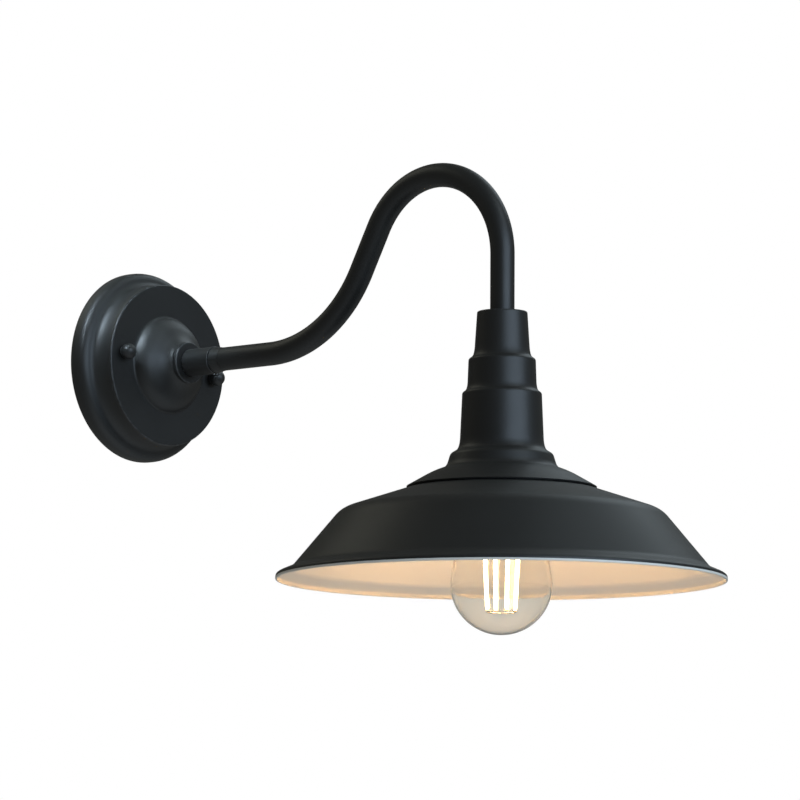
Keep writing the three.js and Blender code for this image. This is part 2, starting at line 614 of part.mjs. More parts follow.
// ---------- leads ----------
// The live and neutral leads run from the terminal block through the arm to the lampholder.
function addLeads() {
  const inside = armLine(ARM_START, NECK_TOP).getSpacedPoints(26);
  for (const [side, word, material] of [[-1, "live", brownWire], [1, "neutral", blueWire]]) {
    const x = side * LEAD_SIDE;
    const pole = side * BLOCK.pitch;
    const route = new THREE.CatmullRomCurve3(
      [
        new THREE.Vector3(pole, -LEAD_OUT, BLOCK.deep - 3),
        new THREE.Vector3(pole, -LEAD_OUT, BLOCK.deep + 2),
        new THREE.Vector3(pole * 0.9, -LEAD_OUT - 4, BLOCK.deep + 6),
        new THREE.Vector3(pole * 0.5, -LEAD_OUT - 13, BLOCK.deep + 3),
        new THREE.Vector3(x, -LEAD_OUT - 21, 2),
        new THREE.Vector3(x, -LEAD_OUT - 27, 0),
        new THREE.Vector3(x, -LEAD_OUT - 42, 0),
        ...inside.map((p) => new THREE.Vector3(x, p.y, p.z)),
        new THREE.Vector3(x, -REACH, HOLDER_TOP + 20),
        new THREE.Vector3(x, -REACH, HOLDER_TOP - 3),
        new THREE.Vector3(x * 1.6, -REACH, HOLDER_TOP - 8),
        new THREE.Vector3(side * (HOLDER_POLE - 1.5), -REACH, HOLDER_FLOOR + 9),
        new THREE.Vector3(side * HOLDER_POLE, -REACH, HOLDER_FLOOR + 6),
        new THREE.Vector3(side * HOLDER_POLE, -REACH, HOLDER_FLOOR + 4 + 2 * GAP),
      ],
      false,
      "centripetal",
    );
    const steps = Math.ceil(route.getLength() / LEAD_STEP);
    place(light, `${word}_lead`, swept(route, LEAD_R, 0, steps, 3), material);
  }
  const earth = new THREE.CatmullRomCurve3([
    new THREE.Vector3(0, -LEAD_OUT, BLOCK.deep - 3),
    new THREE.Vector3(0, -LEAD_OUT, BLOCK.deep + 1),
    new THREE.Vector3(1, -LEAD_OUT - 1, BLOCK.deep + 5),
    new THREE.Vector3(2, -LEAD_OUT + 0.6, TAB.hole),
  ]);
  place(light, "earth_lead", swept(earth, LEAD_R, 0, 12, 3), greenWire);
}

light.name = "outdoor_wall_light";
addWallShells();
addBracket();
addStuds();
addTerminalBlock();
addArm();
addNeck();
addShade();
addLampholder();
addBulb();
addFilaments();
addLeads();

export default light;
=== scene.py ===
"""Looks of an outdoor wall light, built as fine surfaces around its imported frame.

The frame's origin is the centre of the wall plate on the wall, the light stands out to -Y and Z is up.
Sizes are in millimetres, and points are turned into metres where a surface is placed.
"""

import logging
import math
from dataclasses import dataclass, field
from enum import Enum
from typing import Optional, Sequence, Union

import bmesh
import bpy
import numpy as np
from mathutils import Matrix, Vector

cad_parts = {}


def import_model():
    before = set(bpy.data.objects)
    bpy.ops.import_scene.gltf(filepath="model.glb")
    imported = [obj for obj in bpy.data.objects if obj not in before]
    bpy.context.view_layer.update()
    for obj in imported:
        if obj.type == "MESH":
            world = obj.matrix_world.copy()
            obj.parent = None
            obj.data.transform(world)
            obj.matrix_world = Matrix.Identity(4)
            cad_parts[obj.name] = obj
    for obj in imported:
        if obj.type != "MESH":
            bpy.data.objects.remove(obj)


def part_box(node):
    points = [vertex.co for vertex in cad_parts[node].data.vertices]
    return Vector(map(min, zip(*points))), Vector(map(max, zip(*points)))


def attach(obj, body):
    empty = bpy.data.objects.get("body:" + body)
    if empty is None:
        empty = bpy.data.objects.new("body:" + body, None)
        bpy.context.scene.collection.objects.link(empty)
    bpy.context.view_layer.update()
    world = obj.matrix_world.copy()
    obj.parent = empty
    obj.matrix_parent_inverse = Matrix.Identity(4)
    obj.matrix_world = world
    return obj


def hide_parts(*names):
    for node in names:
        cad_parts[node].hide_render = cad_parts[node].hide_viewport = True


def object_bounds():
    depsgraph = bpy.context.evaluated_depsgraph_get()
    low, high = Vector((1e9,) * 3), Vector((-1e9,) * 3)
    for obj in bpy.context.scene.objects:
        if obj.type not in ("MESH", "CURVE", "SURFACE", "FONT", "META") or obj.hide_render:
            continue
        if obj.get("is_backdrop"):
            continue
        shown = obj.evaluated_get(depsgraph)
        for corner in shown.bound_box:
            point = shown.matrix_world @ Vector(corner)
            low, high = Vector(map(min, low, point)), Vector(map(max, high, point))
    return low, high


LOG = logging.getLogger("wall_light")
MM = 0.001
TAU = 2.0 * math.pi

Colour = tuple[float, float, float]
Corner = tuple[float, ...]
Socket = bpy.types.NodeSocket
Value = Union[float, Colour, Socket]


class Body(Enum):
    """The moving bodies of the frame."""

    ROOT = "root"
    LEFT_NUT = "left_nut"
    RIGHT_NUT = "right_nut"
    RING = "ring"
    TONGUE = "tongue"
    BULB_LIFT = "bulb_lift"
    BULB = "bulb"


class Slot(Enum):
    """The record's material slots."""

    BLACK_PAINT = "black_paint"
    SHADE_ENAMEL = "shade_enamel"
    ZINC_STEEL = "zinc_steel"
    BRASS = "brass"
    NICKEL = "nickel"
    SEAL_RUBBER = "seal_rubber"
    PORCELAIN = "porcelain"
    BLOCK_PLASTIC = "block_plastic"
    FIBRE = "fibre"
    BLACK_GLASS = "black_glass"
    BULB_GLASS = "bulb_glass"
    FILAMENT = "filament"
    LIVE_INSULATION = "live_insulation"
    NEUTRAL_INSULATION = "neutral_insulation"
    EARTH_INSULATION = "earth_insulation"


# ---------------------------------------------------------------- sections


def rounded(corners: Sequence[Corner], steps: int = 8, guard: float = 0.25) -> np.ndarray:
    """Rounds a chain of corners into a smooth section.

    Each corner is cut back along both its edges and bridged by the parabola
    (1 - s)^2 start + 2 s (1 - s) corner + s^2 end. One more point stands a little way along the straight
    on each side, so that the shading of a flat stays flat.

    Args:
        corners: Radius and height of each corner, then how far it is cut back along the edge before it and
            the edge after it. One cut stands for both, and a corner without any stays where it is.
        steps: Spans of each curve.
        guard: Distance of the extra points from the curve's ends.

    Returns:
        Radius and height of each point, with no two alike in a row.
    """
    table = np.array([(*corner, *(corner[2:] or (0.0, 0.0)))[:4] for corner in corners])
    place, cuts = table[:, :2], table[:, 2:]
    back, ahead = np.roll(place, 1, axis=0) - place, np.roll(place, -1, axis=0) - place
    back_length = np.linalg.norm(back, axis=1, keepdims=True)
    ahead_length = np.linalg.norm(ahead, axis=1, keepdims=True)
    before, after = cuts[:, :1], cuts[:, 1:]
    back_room = back_length - before - np.roll(after, 1, axis=0)
    ahead_room = ahead_length - after - np.roll(before, -1, axis=0)
    back_guard = np.clip(0.3 * back_room, 0.0, guard) * (before > 0)
    ahead_guard = np.clip(0.3 * ahead_room, 0.0, guard) * (after > 0)
    back_unit = back / np.maximum(back_length, 1e-9)
    ahead_unit = ahead / np.maximum(ahead_length, 1e-9)
    start, end = place + back_unit * before, place + ahead_unit * after
    s = np.linspace(0.0, 1.0, steps + 1)[None, :, None]
    curve = (1 - s) ** 2 * start[:, None] + 2 * s * (1 - s) * place[:, None] + s**2 * end[:, None]
    first = (start + back_unit * back_guard)[:, None]
    last = (end + ahead_unit * ahead_guard)[:, None]
    chain = np.concatenate([first, curve, last], axis=1).reshape(-1, 2)
    apart = np.linalg.norm(chain - np.roll(chain, 1, axis=0), axis=1) > 1e-5
    return chain[apart]


def open_section(corners: Sequence[Corner], steps: int = 8) -> np.ndarray:
    """The same as rounded, for a chain that does not come back to its start.

    Args:
        corners: The chain of corners, from its first end.
        steps: Spans of each curve.

    Returns:
        Radius and height of each point, with no two alike in a row.
    """
    chain = rounded(corners, steps)
    first = np.array([corners[0][:2]])
    if np.linalg.norm(chain[0] - first) > 1e-5:
        chain = np.concatenate([first, chain])
    return chain


def moved_right(section: np.ndarray, distance: float) -> np.ndarray:
    """Moves a section to the right of its own direction: point + distance (dz, -dr) / |(dr, dz)|.

    Args:
        section: Radius and height of each point.
        distance: How far, or to the left where it is negative.

    Returns:
        The moved section.
    """
    ahead = np.gradient(section, axis=0)
    ahead /= np.linalg.norm(ahead, axis=1, keepdims=True)
    return section + distance * np.stack([ahead[:, 1], -ahead[:, 0]], axis=1)


def walled(section: np.ndarray, wall: float) -> np.ndarray:
    """A closed loop: the section, then the section moved by the wall, backwards."""
    return np.concatenate([section, moved_right(section, wall)[::-1]])


def ring_section(bore: float, radius: float, low: float, high: float, cut: float = 0.3) -> np.ndarray:
    """A rectangle of a ring's wall with all its corners rounded.

    Args:
        bore: Inner radius.
        radius: Outer radius.
        low: Lower face.
        high: Upper face.
        cut: How far the corners are cut back.

    Returns:
        A closed loop.
    """
    edge = [(bore, low), (radius, low), (radius, high), (bore, high)]
    return rounded([(r, z, cut) for r, z in edge], steps=4)


def sharpness(loop: np.ndarray) -> np.ndarray:
    """How sharp and outward each point of a closed loop is, from 0 on a flat to 1 on a round of 1 mm.

    It is the turn between the two edges at a point over their mean length, in radians per millimetre.

    Args:
        loop: Radius and height of each point.

    Returns:
        One value for each point.
    """
    before, after = loop - np.roll(loop, 1, axis=0), np.roll(loop, -1, axis=0) - loop
    size_before, size_after = np.linalg.norm(before, axis=1), np.linalg.norm(after, axis=1)
    cross = before[:, 0] * after[:, 1] - before[:, 1] * after[:, 0]
    turn = np.arcsin(np.clip(cross / np.maximum(size_before * size_after, 1e-12), -1.0, 1.0))
    x, y = loop[:, 0], loop[:, 1]
    way = np.sign(np.sum(x * np.roll(y, -1) - np.roll(x, -1) * y))
    return np.clip(way * turn / np.maximum((size_before + size_after) / 2, 1e-9), 0.0, 1.0)


# ---------------------------------------------------------------- surfaces


@dataclass
class Surface:
    """Points in metres, four-sided faces, and values that its finish reads at each point."""

    points: np.ndarray
    faces: np.ndarray
    edge: np.ndarray
    along: np.ndarray
    around: np.ndarray


def rings(
    centres: np.ndarray, across: np.ndarray, up: np.ndarray, radius: np.ndarray, segments: int
) -> np.ndarray:
    """Rings along a line: point = centre + radius (cos t across + sin t up).

    Args:
        centres: Centre of each ring, in millimetres.
        across: Direction of each ring's first point.
        up: Direction a quarter turn on.
        radius: One radius for each ring, or one for each of its points.
        segments: Points round a ring.

    Returns:
        Points in metres, ring by ring.
    """
    turn = np.linspace(0.0, TAU, segments, endpoint=False)[None, :, None]
    wide = np.broadcast_to(np.asarray(radius, float).reshape(len(centres), -1), (len(centres), segments))
    outward = np.cos(turn) * across[:, None] + np.sin(turn) * up[:, None]
    return MM * (centres[:, None] + wide[..., None] * outward)


def skin(grid: np.ndarray, edge: Optional[np.ndarray] = None, closed: bool = True) -> Surface:
    """Joins a grid of points, ring by ring, with four-sided faces that point outwards.

    The volume under the faces is the sum of a . (b x c) / 6 over their triangles, and where it is negative
    every face is turned round.

    Args:
        grid: Points in metres, as rings by points.
        edge: A value for each ring, for wear along edges.
        closed: Whether the last ring joins the first.

    Returns:
        The surface.
    """
    count, segments = grid.shape[:2]
    index = np.arange(count * segments).reshape(count, segments)
    beside = np.roll(index, -1, axis=1)
    below, below_beside = np.roll(index, -1, axis=0), np.roll(beside, -1, axis=0)
    faces = np.stack([index, beside, below_beside, below], axis=-1)
    faces = (faces if closed else faces[:-1]).reshape(-1, 4)
    points = grid.reshape(-1, 3)
    a, b, c, d = (points[faces[:, k]] for k in range(4))
    volume = np.sum(a * np.cross(b, c)) + np.sum(a * np.cross(c, d))
    along, around = np.meshgrid(np.linspace(0, 1, count), np.linspace(0, 1, segments), indexing="ij")
    worn = np.zeros(count) if edge is None else edge
    worn = np.repeat(worn, segments)
    faces = faces if volume > 0 else faces[:, ::-1]
    return Surface(points, faces, worn, along.ravel(), around.ravel())


@dataclass(frozen=True)
class Axis:
    """A line that pieces are turned about, with the two directions across it."""

    origin: np.ndarray
    across: np.ndarray
    up: np.ndarray
    along: np.ndarray

    def point(self, x: float, y: float, height: float) -> np.ndarray:
        """A point given along the three directions, in millimetres."""
        return self.origin + x * self.across + y * self.up + height * self.along

    def shifted(self, x: float, y: float) -> "Axis":
        """The same axis through another point."""
        return Axis(self.point(x, y, 0.0), self.across, self.up, self.along)

    def grid(self, height: np.ndarray, radius: np.ndarray, segments: int) -> np.ndarray:
        """Rings of these radii at these heights on the axis, in metres.

        Args:
            height: Height of each ring on the axis.
            radius: Radius of each ring, or of each of its points.
            segments: Points round a ring.

        Returns:
            Points in metres, ring by ring.
        """
        count = len(height)
        centres = self.origin + np.asarray(height, float)[:, None] * self.along
        across, up = np.tile(self.across, (count, 1)), np.tile(self.up, (count, 1))
        return rings(centres, across, up, radius, segments)

    def turned(self, section: np.ndarray, segments: int = 96, closed: bool = True) -> Surface:
        """Turns a section about the axis.

        Args:
            section: Radius and height of each point, as a closed loop or a chain between two poles.
            segments: Points round the axis.
            closed: Whether the section is a loop.

        Returns:
            The surface of revolution.
        """
        grid = self.grid(section[:, 1], section[:, 0], segments)
        return skin(grid, sharpness(section), closed)

    def threaded(
        self,
        section: np.ndarray,
        pitch: float,
        depth: float,
        ridged: np.ndarray,
        segments: int = 48,
        closed: bool = True,
    ) -> Surface:
        """Turns a section whose ridged points carry a right-hand thread.

        The radius falls by depth (1 - cos(2 pi height / pitch - t)) / 2, where t is the turn.

        Args:
            section: Radius and height of each point.
            pitch: Rise of the thread in one turn.
            depth: Height of its ridges.
            ridged: From 0 to 1, how far each point takes part.
            segments: Points round the axis.
            closed: Whether the section is a loop.

        Returns:
            The threaded surface.
        """
        turn = np.linspace(0.0, TAU, segments, endpoint=False)
        wave = 0.5 - 0.5 * np.cos(TAU * section[:, 1:] / pitch - turn[None, :])
        radius = section[:, :1] - depth * wave * ridged[:, None]
        return skin(self.grid(section[:, 1], radius, segments), sharpness(section), closed)

    def rod(
        self, radius: float, low: float, high: float, pitch: float, bore: float = 0.0, segments: int = 24
    ) -> Surface:
        """A threaded rod or, with a bore, a threaded tube, with rows close enough to draw the thread.

        Args:
            radius: Outer radius of the thread.
            low: Lower end.
            high: Upper end.
            pitch: Pitch of the thread.
            bore: Inner radius, or 0 for a solid rod.
            segments: Points round the rod.

        Returns:
            The rod's surface.
        """
        lead_in = 0.6 * pitch
        rows = max(int((high - low) / pitch * 7), 8)
        height = np.linspace(low + lead_in, high - lead_in, rows)
        side = np.stack([np.full(rows, radius), height], axis=1)
        ends = [[bore, low], [radius - lead_in, low]], [[radius - lead_in, high], [bore, high]]
        section = np.concatenate([np.array(ends[0]), side, np.array(ends[1])])
        ridged = np.concatenate([[0.0, 0.0], np.ones(rows), [0.0, 0.0]])
        return self.threaded(section, pitch, 0.55 * pitch, ridged, segments)

    def hexagon(self, across_flats: float, bore: float, low: float, high: float) -> Surface:
        """A nut whose corners are turned off at both faces.

        Its radius is the smaller of the hexagon, half across / cos(t), with t from the nearest flat's
        middle, and a cone that leaves each face 3 mm out for each 1.7 mm of height.

        Args:
            across_flats: Width across the flats.
            bore: Radius of its hole.
            low: Lower face.
            high: Upper face.

        Returns:
            The nut's surface.
        """
        segments = 72
        turn = np.linspace(0.0, TAU, segments, endpoint=False)
        from_flat = np.mod(turn, TAU / 6) - TAU / 12
        flats = across_flats / 2 / np.cos(from_flat)
        face = across_flats / 2 * 0.95
        depth = np.array([0.0, 0.12, 0.3, 0.5, 0.75, 1.05]) * across_flats / 12
        cone = face + depth * math.sqrt(3.0)
        side = np.minimum(flats[None, :], cone[:, None])
        hole = np.full((1, segments), bore)
        chamfered = np.full((1, segments), bore + 0.5)
        radius = np.concatenate([hole, chamfered, side, side[::-1], chamfered, hole])
        heights = [[low + 0.5, low], low + depth, (high - depth)[::-1], [high, high - 0.5]]
        height = np.concatenate([np.asarray(part, float) for part in heights])
        worn = np.concatenate([[0.0, 0.3], np.linspace(0.8, 0.2, 6), np.linspace(0.2, 0.8, 6), [0.3, 0.0]])
        return skin(self.grid(height, radius, segments), worn)


def tube_along(
    line: np.ndarray, across: np.ndarray, radius: float, bore: float = 0.0, segments: int = 48
) -> Surface:
    """A pipe or a wire along a line, with its ends closed by rings or discs.

    The direction at each point is the difference of its neighbours. The ring's first direction is the given
    one made square to it, and the second is their cross product.

    Args:
        line: Points in millimetres.
        across: A direction that is never along the line.
        radius: Outer radius.
        bore: Inner radius, or 0 for a solid wire.
        segments: Points round it.

    Returns:
        The pipe's surface.
    """
    ahead = np.gradient(line, axis=0)
    ahead /= np.linalg.norm(ahead, axis=1, keepdims=True)
    side = across[None, :] - (ahead @ across)[:, None] * ahead
    side /= np.linalg.norm(side, axis=1, keepdims=True)
    up = np.cross(ahead, side)
    order = np.arange(len(line))
    cut = min(0.25, 0.3 * radius)
    if bore:
        order = np.concatenate([order, order[::-1]])
        radii = np.repeat([radius, bore], len(line))
    else:
        order = np.concatenate([[0], order, [len(line) - 1]])
        radii = np.concatenate([[0.0, radius - cut], np.full(len(line) - 2, radius), [radius - cut, 0.0]])
    grid = rings(line[order], side[order], up[order], radii, segments)
    return skin(grid, closed=bool(bore))


def smooth_line(points: np.ndarray, per_span: int = 8) -> np.ndarray:
    """A smooth line through points: the Catmull-Rom cubic of each span and its neighbours.

    Args:
        points: Points in millimetres.
        per_span: Points made for each span.

    Returns:
        Points of the line.
    """
    padded = np.concatenate([2 * points[:1] - points[1:2], points, 2 * points[-1:] - points[-2:-1]])
    p0, p1, p2, p3 = (padded[k : len(padded) - 3 + k, None] for k in range(4))
    s = np.linspace(0.0, 1.0, per_span, endpoint=False)[None, :, None]
    cubic = p1 + 0.5 * s * (p2 - p0 + s * (2 * p0 - 5 * p1 + 4 * p2 - p3 + s * (3 * (p1 - p2) + p3 - p0)))
    return np.concatenate([cubic.reshape(-1, 3), points[-1:]])


# ---------------------------------------------------------------- shader graphs


class Graph:
    """Adds nodes to a tree and wires them in the same call."""

    def __init__(self, tree: bpy.types.NodeTree) -> None:
        """Keeps the tree and clears it."""
        self.tree = tree
        self.tree.nodes.clear()

    def add(
        self,
        kind: str,
        inputs: Optional[dict[Union[str, int], Value]] = None,
        **settings: Union[str, float, bool, bpy.types.NodeTree],
    ) -> bpy.types.Node:
        """Adds one node.

        Args:
            kind: The node's type, without its ShaderNode prefix.
            inputs: Sockets to join or constants to set, by input name or place.
            **settings: The node's own properties.

        Returns:
            The node.
        """
        node = self.tree.nodes.new(kind if kind.startswith("Node") else f"ShaderNode{kind}")
        for name, setting in settings.items():
            setattr(node, name, setting)
        for name, value in (inputs or {}).items():
            socket = node.inputs[name]
            if isinstance(value, Socket):
                self.tree.links.new(value, socket)
            elif isinstance(value, tuple) and len(value) == 3 and socket.type == "RGBA":
                socket.default_value = (*value, 1.0)
            else:
                socket.default_value = value
        return node

    def math(self, operation: str, a: Value, b: Value = 0.0, clamp: bool = False) -> Socket:
        """A sum, product or other operation on two values."""
        return self.add("Math", {0: a, 1: b}, operation=operation, use_clamp=clamp).outputs[0]

    def noise(self, vector: Value, scale: Value, detail: float = 3.0) -> Socket:
        """Noise at a number of cells to the metre."""
        return self.add("TexNoise", {"Vector": vector, "Scale": scale, "Detail": detail}).outputs[0]

    def between(self, share: Value, low: Value, high: Value) -> Socket:
        """The value that lies a share of the way from low to high."""
        return self.add("MapRange", {0: share, 3: low, 4: high}).outputs[0]

    def blend(self, share: Value, first: Value, second: Value) -> Socket:
        """A colour that lies a share of the way from the first to the second.

        Args:
            share: How far it lies from the first to the second.
            first: The colour at 0.
            second: The colour at 1.

        Returns:
            The colour's socket.
        """
        node = self.add("Mix", data_type="RGBA")
        colours = [socket for socket in node.inputs if socket.type == "RGBA"]
        for socket, value in ((node.inputs[0], share), (colours[0], first), (colours[1], second)):
            if isinstance(value, Socket):
                self.tree.links.new(value, socket)
            else:
                socket.default_value = (*value, 1.0) if isinstance(value, tuple) else value
        return next(socket for socket in node.outputs if socket.type == "RGBA")


def new_group(
    name: str, inputs: dict[str, tuple[str, float]], outputs: Sequence[str]
) -> tuple[Graph, bpy.types.Node]:
    """Starts a shader node group.

    Args:
        name: The group's name.
        inputs: Each input's socket type and default.
        outputs: Names of its float outputs.

    Returns:
        The group's graph and its input node.
    """
    tree = bpy.data.node_groups.new(name, "ShaderNodeTree")
    graph = Graph(tree)
    for label, (kind, default) in inputs.items():
        socket = tree.interface.new_socket(name=label, in_out="INPUT", socket_type=f"NodeSocket{kind}")
        if kind == "Float":
            socket.default_value = default
    for label in outputs:
        tree.interface.new_socket(name=label, in_out="OUTPUT", socket_type="NodeSocketFloat")
    return graph, graph.add("NodeGroupInput")


def surface_grain_group() -> bpy.types.NodeTree:
    """Fine relief and uneven gloss: two noises for height, a slow one for gloss and tone.

    Returns:
        The group, with outputs Height, Roughness and Tone.
    """
    inputs = {
        "Vector": ("Vector", 0.0),
        "Scale": ("Float", 900.0),
        "Stretch": ("Float", 1.0),
        "Smooth": ("Float", 0.4),
        "Rough": ("Float", 0.5),
    }
    graph, given = new_group("surface_grain", inputs, ["Height", "Roughness", "Tone"])
    stretch = graph.add("CombineXYZ", {0: 1.0, 1: 1.0, 2: given.outputs["Stretch"]}).outputs[0]
    stretched = {0: given.outputs["Vector"], 1: stretch}
    vector = graph.add("VectorMath", stretched, operation="MULTIPLY").outputs[0]
    scale = given.outputs["Scale"]
    fine = graph.noise(vector, scale, 2.0)
    pore = graph.noise(vector, graph.math("MULTIPLY", scale, 3.3), 2.0)
    height = graph.math("ADD", graph.math("MULTIPLY", fine, 0.75), graph.math("MULTIPLY", pore, 0.25))
    slow = graph.noise(given.outputs["Vector"], graph.math("MULTIPLY", scale, 0.035), 3.0)
    uneven = graph.math("ADD", graph.math("MULTIPLY", slow, 0.7), graph.math("MULTIPLY", fine, 0.3))
    rough = graph.between(uneven, given.outputs["Smooth"], given.outputs["Rough"])
    graph.add("NodeGroupOutput", {"Height": height, "Roughness": rough, "Tone": slow})
    return graph.tree


def edge_wear_group() -> bpy.types.NodeTree:
    """Rubbed edges: the surface's edge value, broken up by noise and cut off at a threshold.

    Returns:
        The group, with output Worn.
    """
    inputs = {"Vector": ("Vector", 0.0), "Scale": ("Float", 400.0), "Amount": ("Float", 0.4)}
    graph, given = new_group("edge_wear", inputs, ["Worn"])
    edge = graph.add("Attribute", attribute_name="edge").outputs["Fac"]
    patchy = graph.noise(given.outputs["Vector"], given.outputs["Scale"], 4.0)
    mark = graph.math("MULTIPLY", edge, graph.math("MULTIPLY", patchy, given.outputs["Amount"]))
    worn = graph.add("MapRange", {0: mark, 1: 0.18, 2: 0.42, 3: 0.0, 4: 1.0}, interpolation_type="SMOOTHSTEP")
    graph.add("NodeGroupOutput", {"Worn": worn.outputs[0]})
    return graph.tree


def settled_dust_group() -> bpy.types.NodeTree:
    """A thin film on what faces up: the normal's rise, squared, times patchy noise.

    Returns:
        The group, with output Dust.
    """
    inputs = {"Vector": ("Vector", 0.0), "Amount": ("Float", 0.3)}
    graph, given = new_group("settled_dust", inputs, ["Dust"])
    normal = graph.add("NewGeometry").outputs["Normal"]
    rise = graph.add("SeparateXYZ", {0: normal}).outputs[2]
    up = graph.math("POWER", graph.math("MAXIMUM", rise, 0.0), 2.0)
    patchy = graph.between(graph.noise(given.outputs["Vector"], 55.0, 5.0), 0.4, 1.0)
    dust = graph.math("MULTIPLY", graph.math("MULTIPLY", up, patchy), given.outputs["Amount"], clamp=True)
    graph.add("NodeGroupOutput", {"Dust": dust})
    return graph.tree


class Effects:
    """The shared shader node groups, each built once."""

    def __init__(self) -> None:
        """Builds the three groups."""
        self.grain = surface_grain_group()
        self.wear = edge_wear_group()
        self.dust = settled_dust_group()


# ---------------------------------------------------------------- finishes


@dataclass(frozen=True)
class Sheet:
    """A material on the bench: its graph, its coordinates, its grain node and the shared groups."""

    graph: Graph
    place: Socket
    grain: bpy.types.Node
    effects: Effects


@dataclass(frozen=True)
class Look:
    """What all finishes share: a name, the record's slot, a colour, a gloss and a fine grain."""

    name: str
    slot: Optional[Slot] = None
    colour: Colour = (0.5, 0.5, 0.5)
    smooth: float = 0.35
    rough: float = 0.5
    grain_scale: float = 900.0
    grain_stretch: float = 1.0
    grain_height: float = 0.00001

    def material(self, effects: Effects) -> bpy.types.Material:
        """Builds the material: object coordinates, the grain group and the finish's own shader.

        Args:
            effects: The shared groups.

        Returns:
            The material.
        """
        material = bpy.data.materials.new(self.name)
        material.use_nodes = True
        graph = Graph(material.node_tree)
        place = graph.add("TexCoord").outputs["Object"]
        relief = {
            "Vector": place,
            "Scale": self.grain_scale,
            "Stretch": self.grain_stretch,
            "Smooth": self.smooth,
            "Rough": self.rough,
        }
        grain = graph.add("Group", relief, node_tree=effects.grain)
        shader = self.shader(Sheet(graph, place, grain, effects))
        graph.add("OutputMaterial", {"Surface": shader})
        return material

    def shader(self, sheet: Sheet) -> Socket:
        """The finish's own shader, which each kind of finish makes."""
        raise NotImplementedError(self.name)

    def bump(self, sheet: Sheet) -> Socket:
        """The normal over the grain's relief."""
        relief = {"Height": sheet.grain.outputs["Height"], "Distance": self.grain_height, "Strength": 1.0}
        return sheet.graph.add("Bump", relief).outputs["Normal"]


@dataclass(frozen=True)
class Finish(Look):
    """An opaque finish, with rubbed edges and settled dust where it has them."""

    metallic: float = 0.0
    tone: float = 0.12
    worn_colour: Colour = (0.4, 0.4, 0.4)
    wear: float = 0.0
    dust_colour: Colour = (0.3, 0.29, 0.26)
    dust: float = 0.0
    coat: float = 0.0
    coat_roughness: float = 0.15

    def base_colour(self, sheet: Sheet) -> Socket:
        """The finish's colour, lighter and darker by its tone.

        Args:
            sheet: The material that it is for.

        Returns:
            The colour's socket.
        """
        darker = tuple(channel * (1 - self.tone) for channel in self.colour)
        lighter = tuple(channel * (1 + self.tone) for channel in self.colour)
        return sheet.graph.blend(sheet.grain.outputs["Tone"], darker, lighter)

    def shader(self, sheet: Sheet) -> Socket:
        """Lays wear over the colour, then dust over both.

        Args:
            sheet: The material that it is for.

        Returns:
            The shader.
        """
        graph, colour, rough = sheet.graph, self.base_colour(sheet), sheet.grain.outputs["Roughness"]
        if self.wear:
            wear = {"Vector": sheet.place, "Amount": self.wear}
            worn = graph.add("Group", wear, node_tree=sheet.effects.wear).outputs["Worn"]
            colour = graph.blend(worn, colour, self.worn_colour)
        if self.dust:
            settled = {"Vector": sheet.place, "Amount": self.dust}
            dust = graph.add("Group", settled, node_tree=sheet.effects.dust).outputs["Dust"]
            colour = graph.blend(dust, colour, self.dust_colour)
            rough = graph.between(dust, rough, 0.85)
        looks = {
            "Base Color": colour,
            "Roughness": rough,
            "Metallic": self.metallic,
            "Normal": self.bump(sheet),
            "Coat Weight": self.coat,
            "Coat Roughness": self.coat_roughness,
        }
        return graph.add("BsdfPrincipled", looks).outputs[0]


@dataclass(frozen=True)
class StripedFinish(Finish):
    """Insulation in two colours, with one stripe along the wire."""

    stripe: Colour = (0.75, 0.6, 0.03)

    def base_colour(self, sheet: Sheet) -> Socket:
        """The first colour, and the stripe's on half of the way round.

        Args:
            sheet: The material that it is for.

        Returns:
            The colour's socket.
        """
        around = sheet.graph.add("Attribute", attribute_name="around").outputs["Fac"]
        band = sheet.graph.math("GREATER_THAN", around, 0.5)
        return sheet.graph.blend(band, super().base_colour(sheet), self.stripe)


@dataclass(frozen=True)
class ClearGlass(Look):
    """Thin clear glass, a little wavy, that lets shadow light straight through."""

    colour: Colour = (0.97, 0.965, 0.95)
    smooth: float = 0.0
    rough: float = 0.0
    grain_scale: float = 120.0
    grain_height: float = 0.00006

    def shader(self, sheet: Sheet) -> Socket:
        """Mixes a transmitting shader with a plain transparent one for shadow light.

        Args:
            sheet: The material that it is for.

        Returns:
            The shader.
        """
        graph = sheet.graph
        looks = {
            "Base Color": self.colour,
            "Roughness": self.rough,
            "IOR": 1.47,
            "Transmission Weight": 1.0,
            "Normal": self.bump(sheet),
        }
        glass = graph.add("BsdfPrincipled", looks).outputs[0]
        clear = graph.add("BsdfTransparent", {"Color": self.colour}).outputs[0]
        path = graph.add("LightPath")
        passing = graph.math("MAXIMUM", path.outputs["Is Shadow Ray"], path.outputs["Is Diffuse Ray"])
        return graph.add("MixShader", {0: passing, 1: glass, 2: clear}).outputs[0]


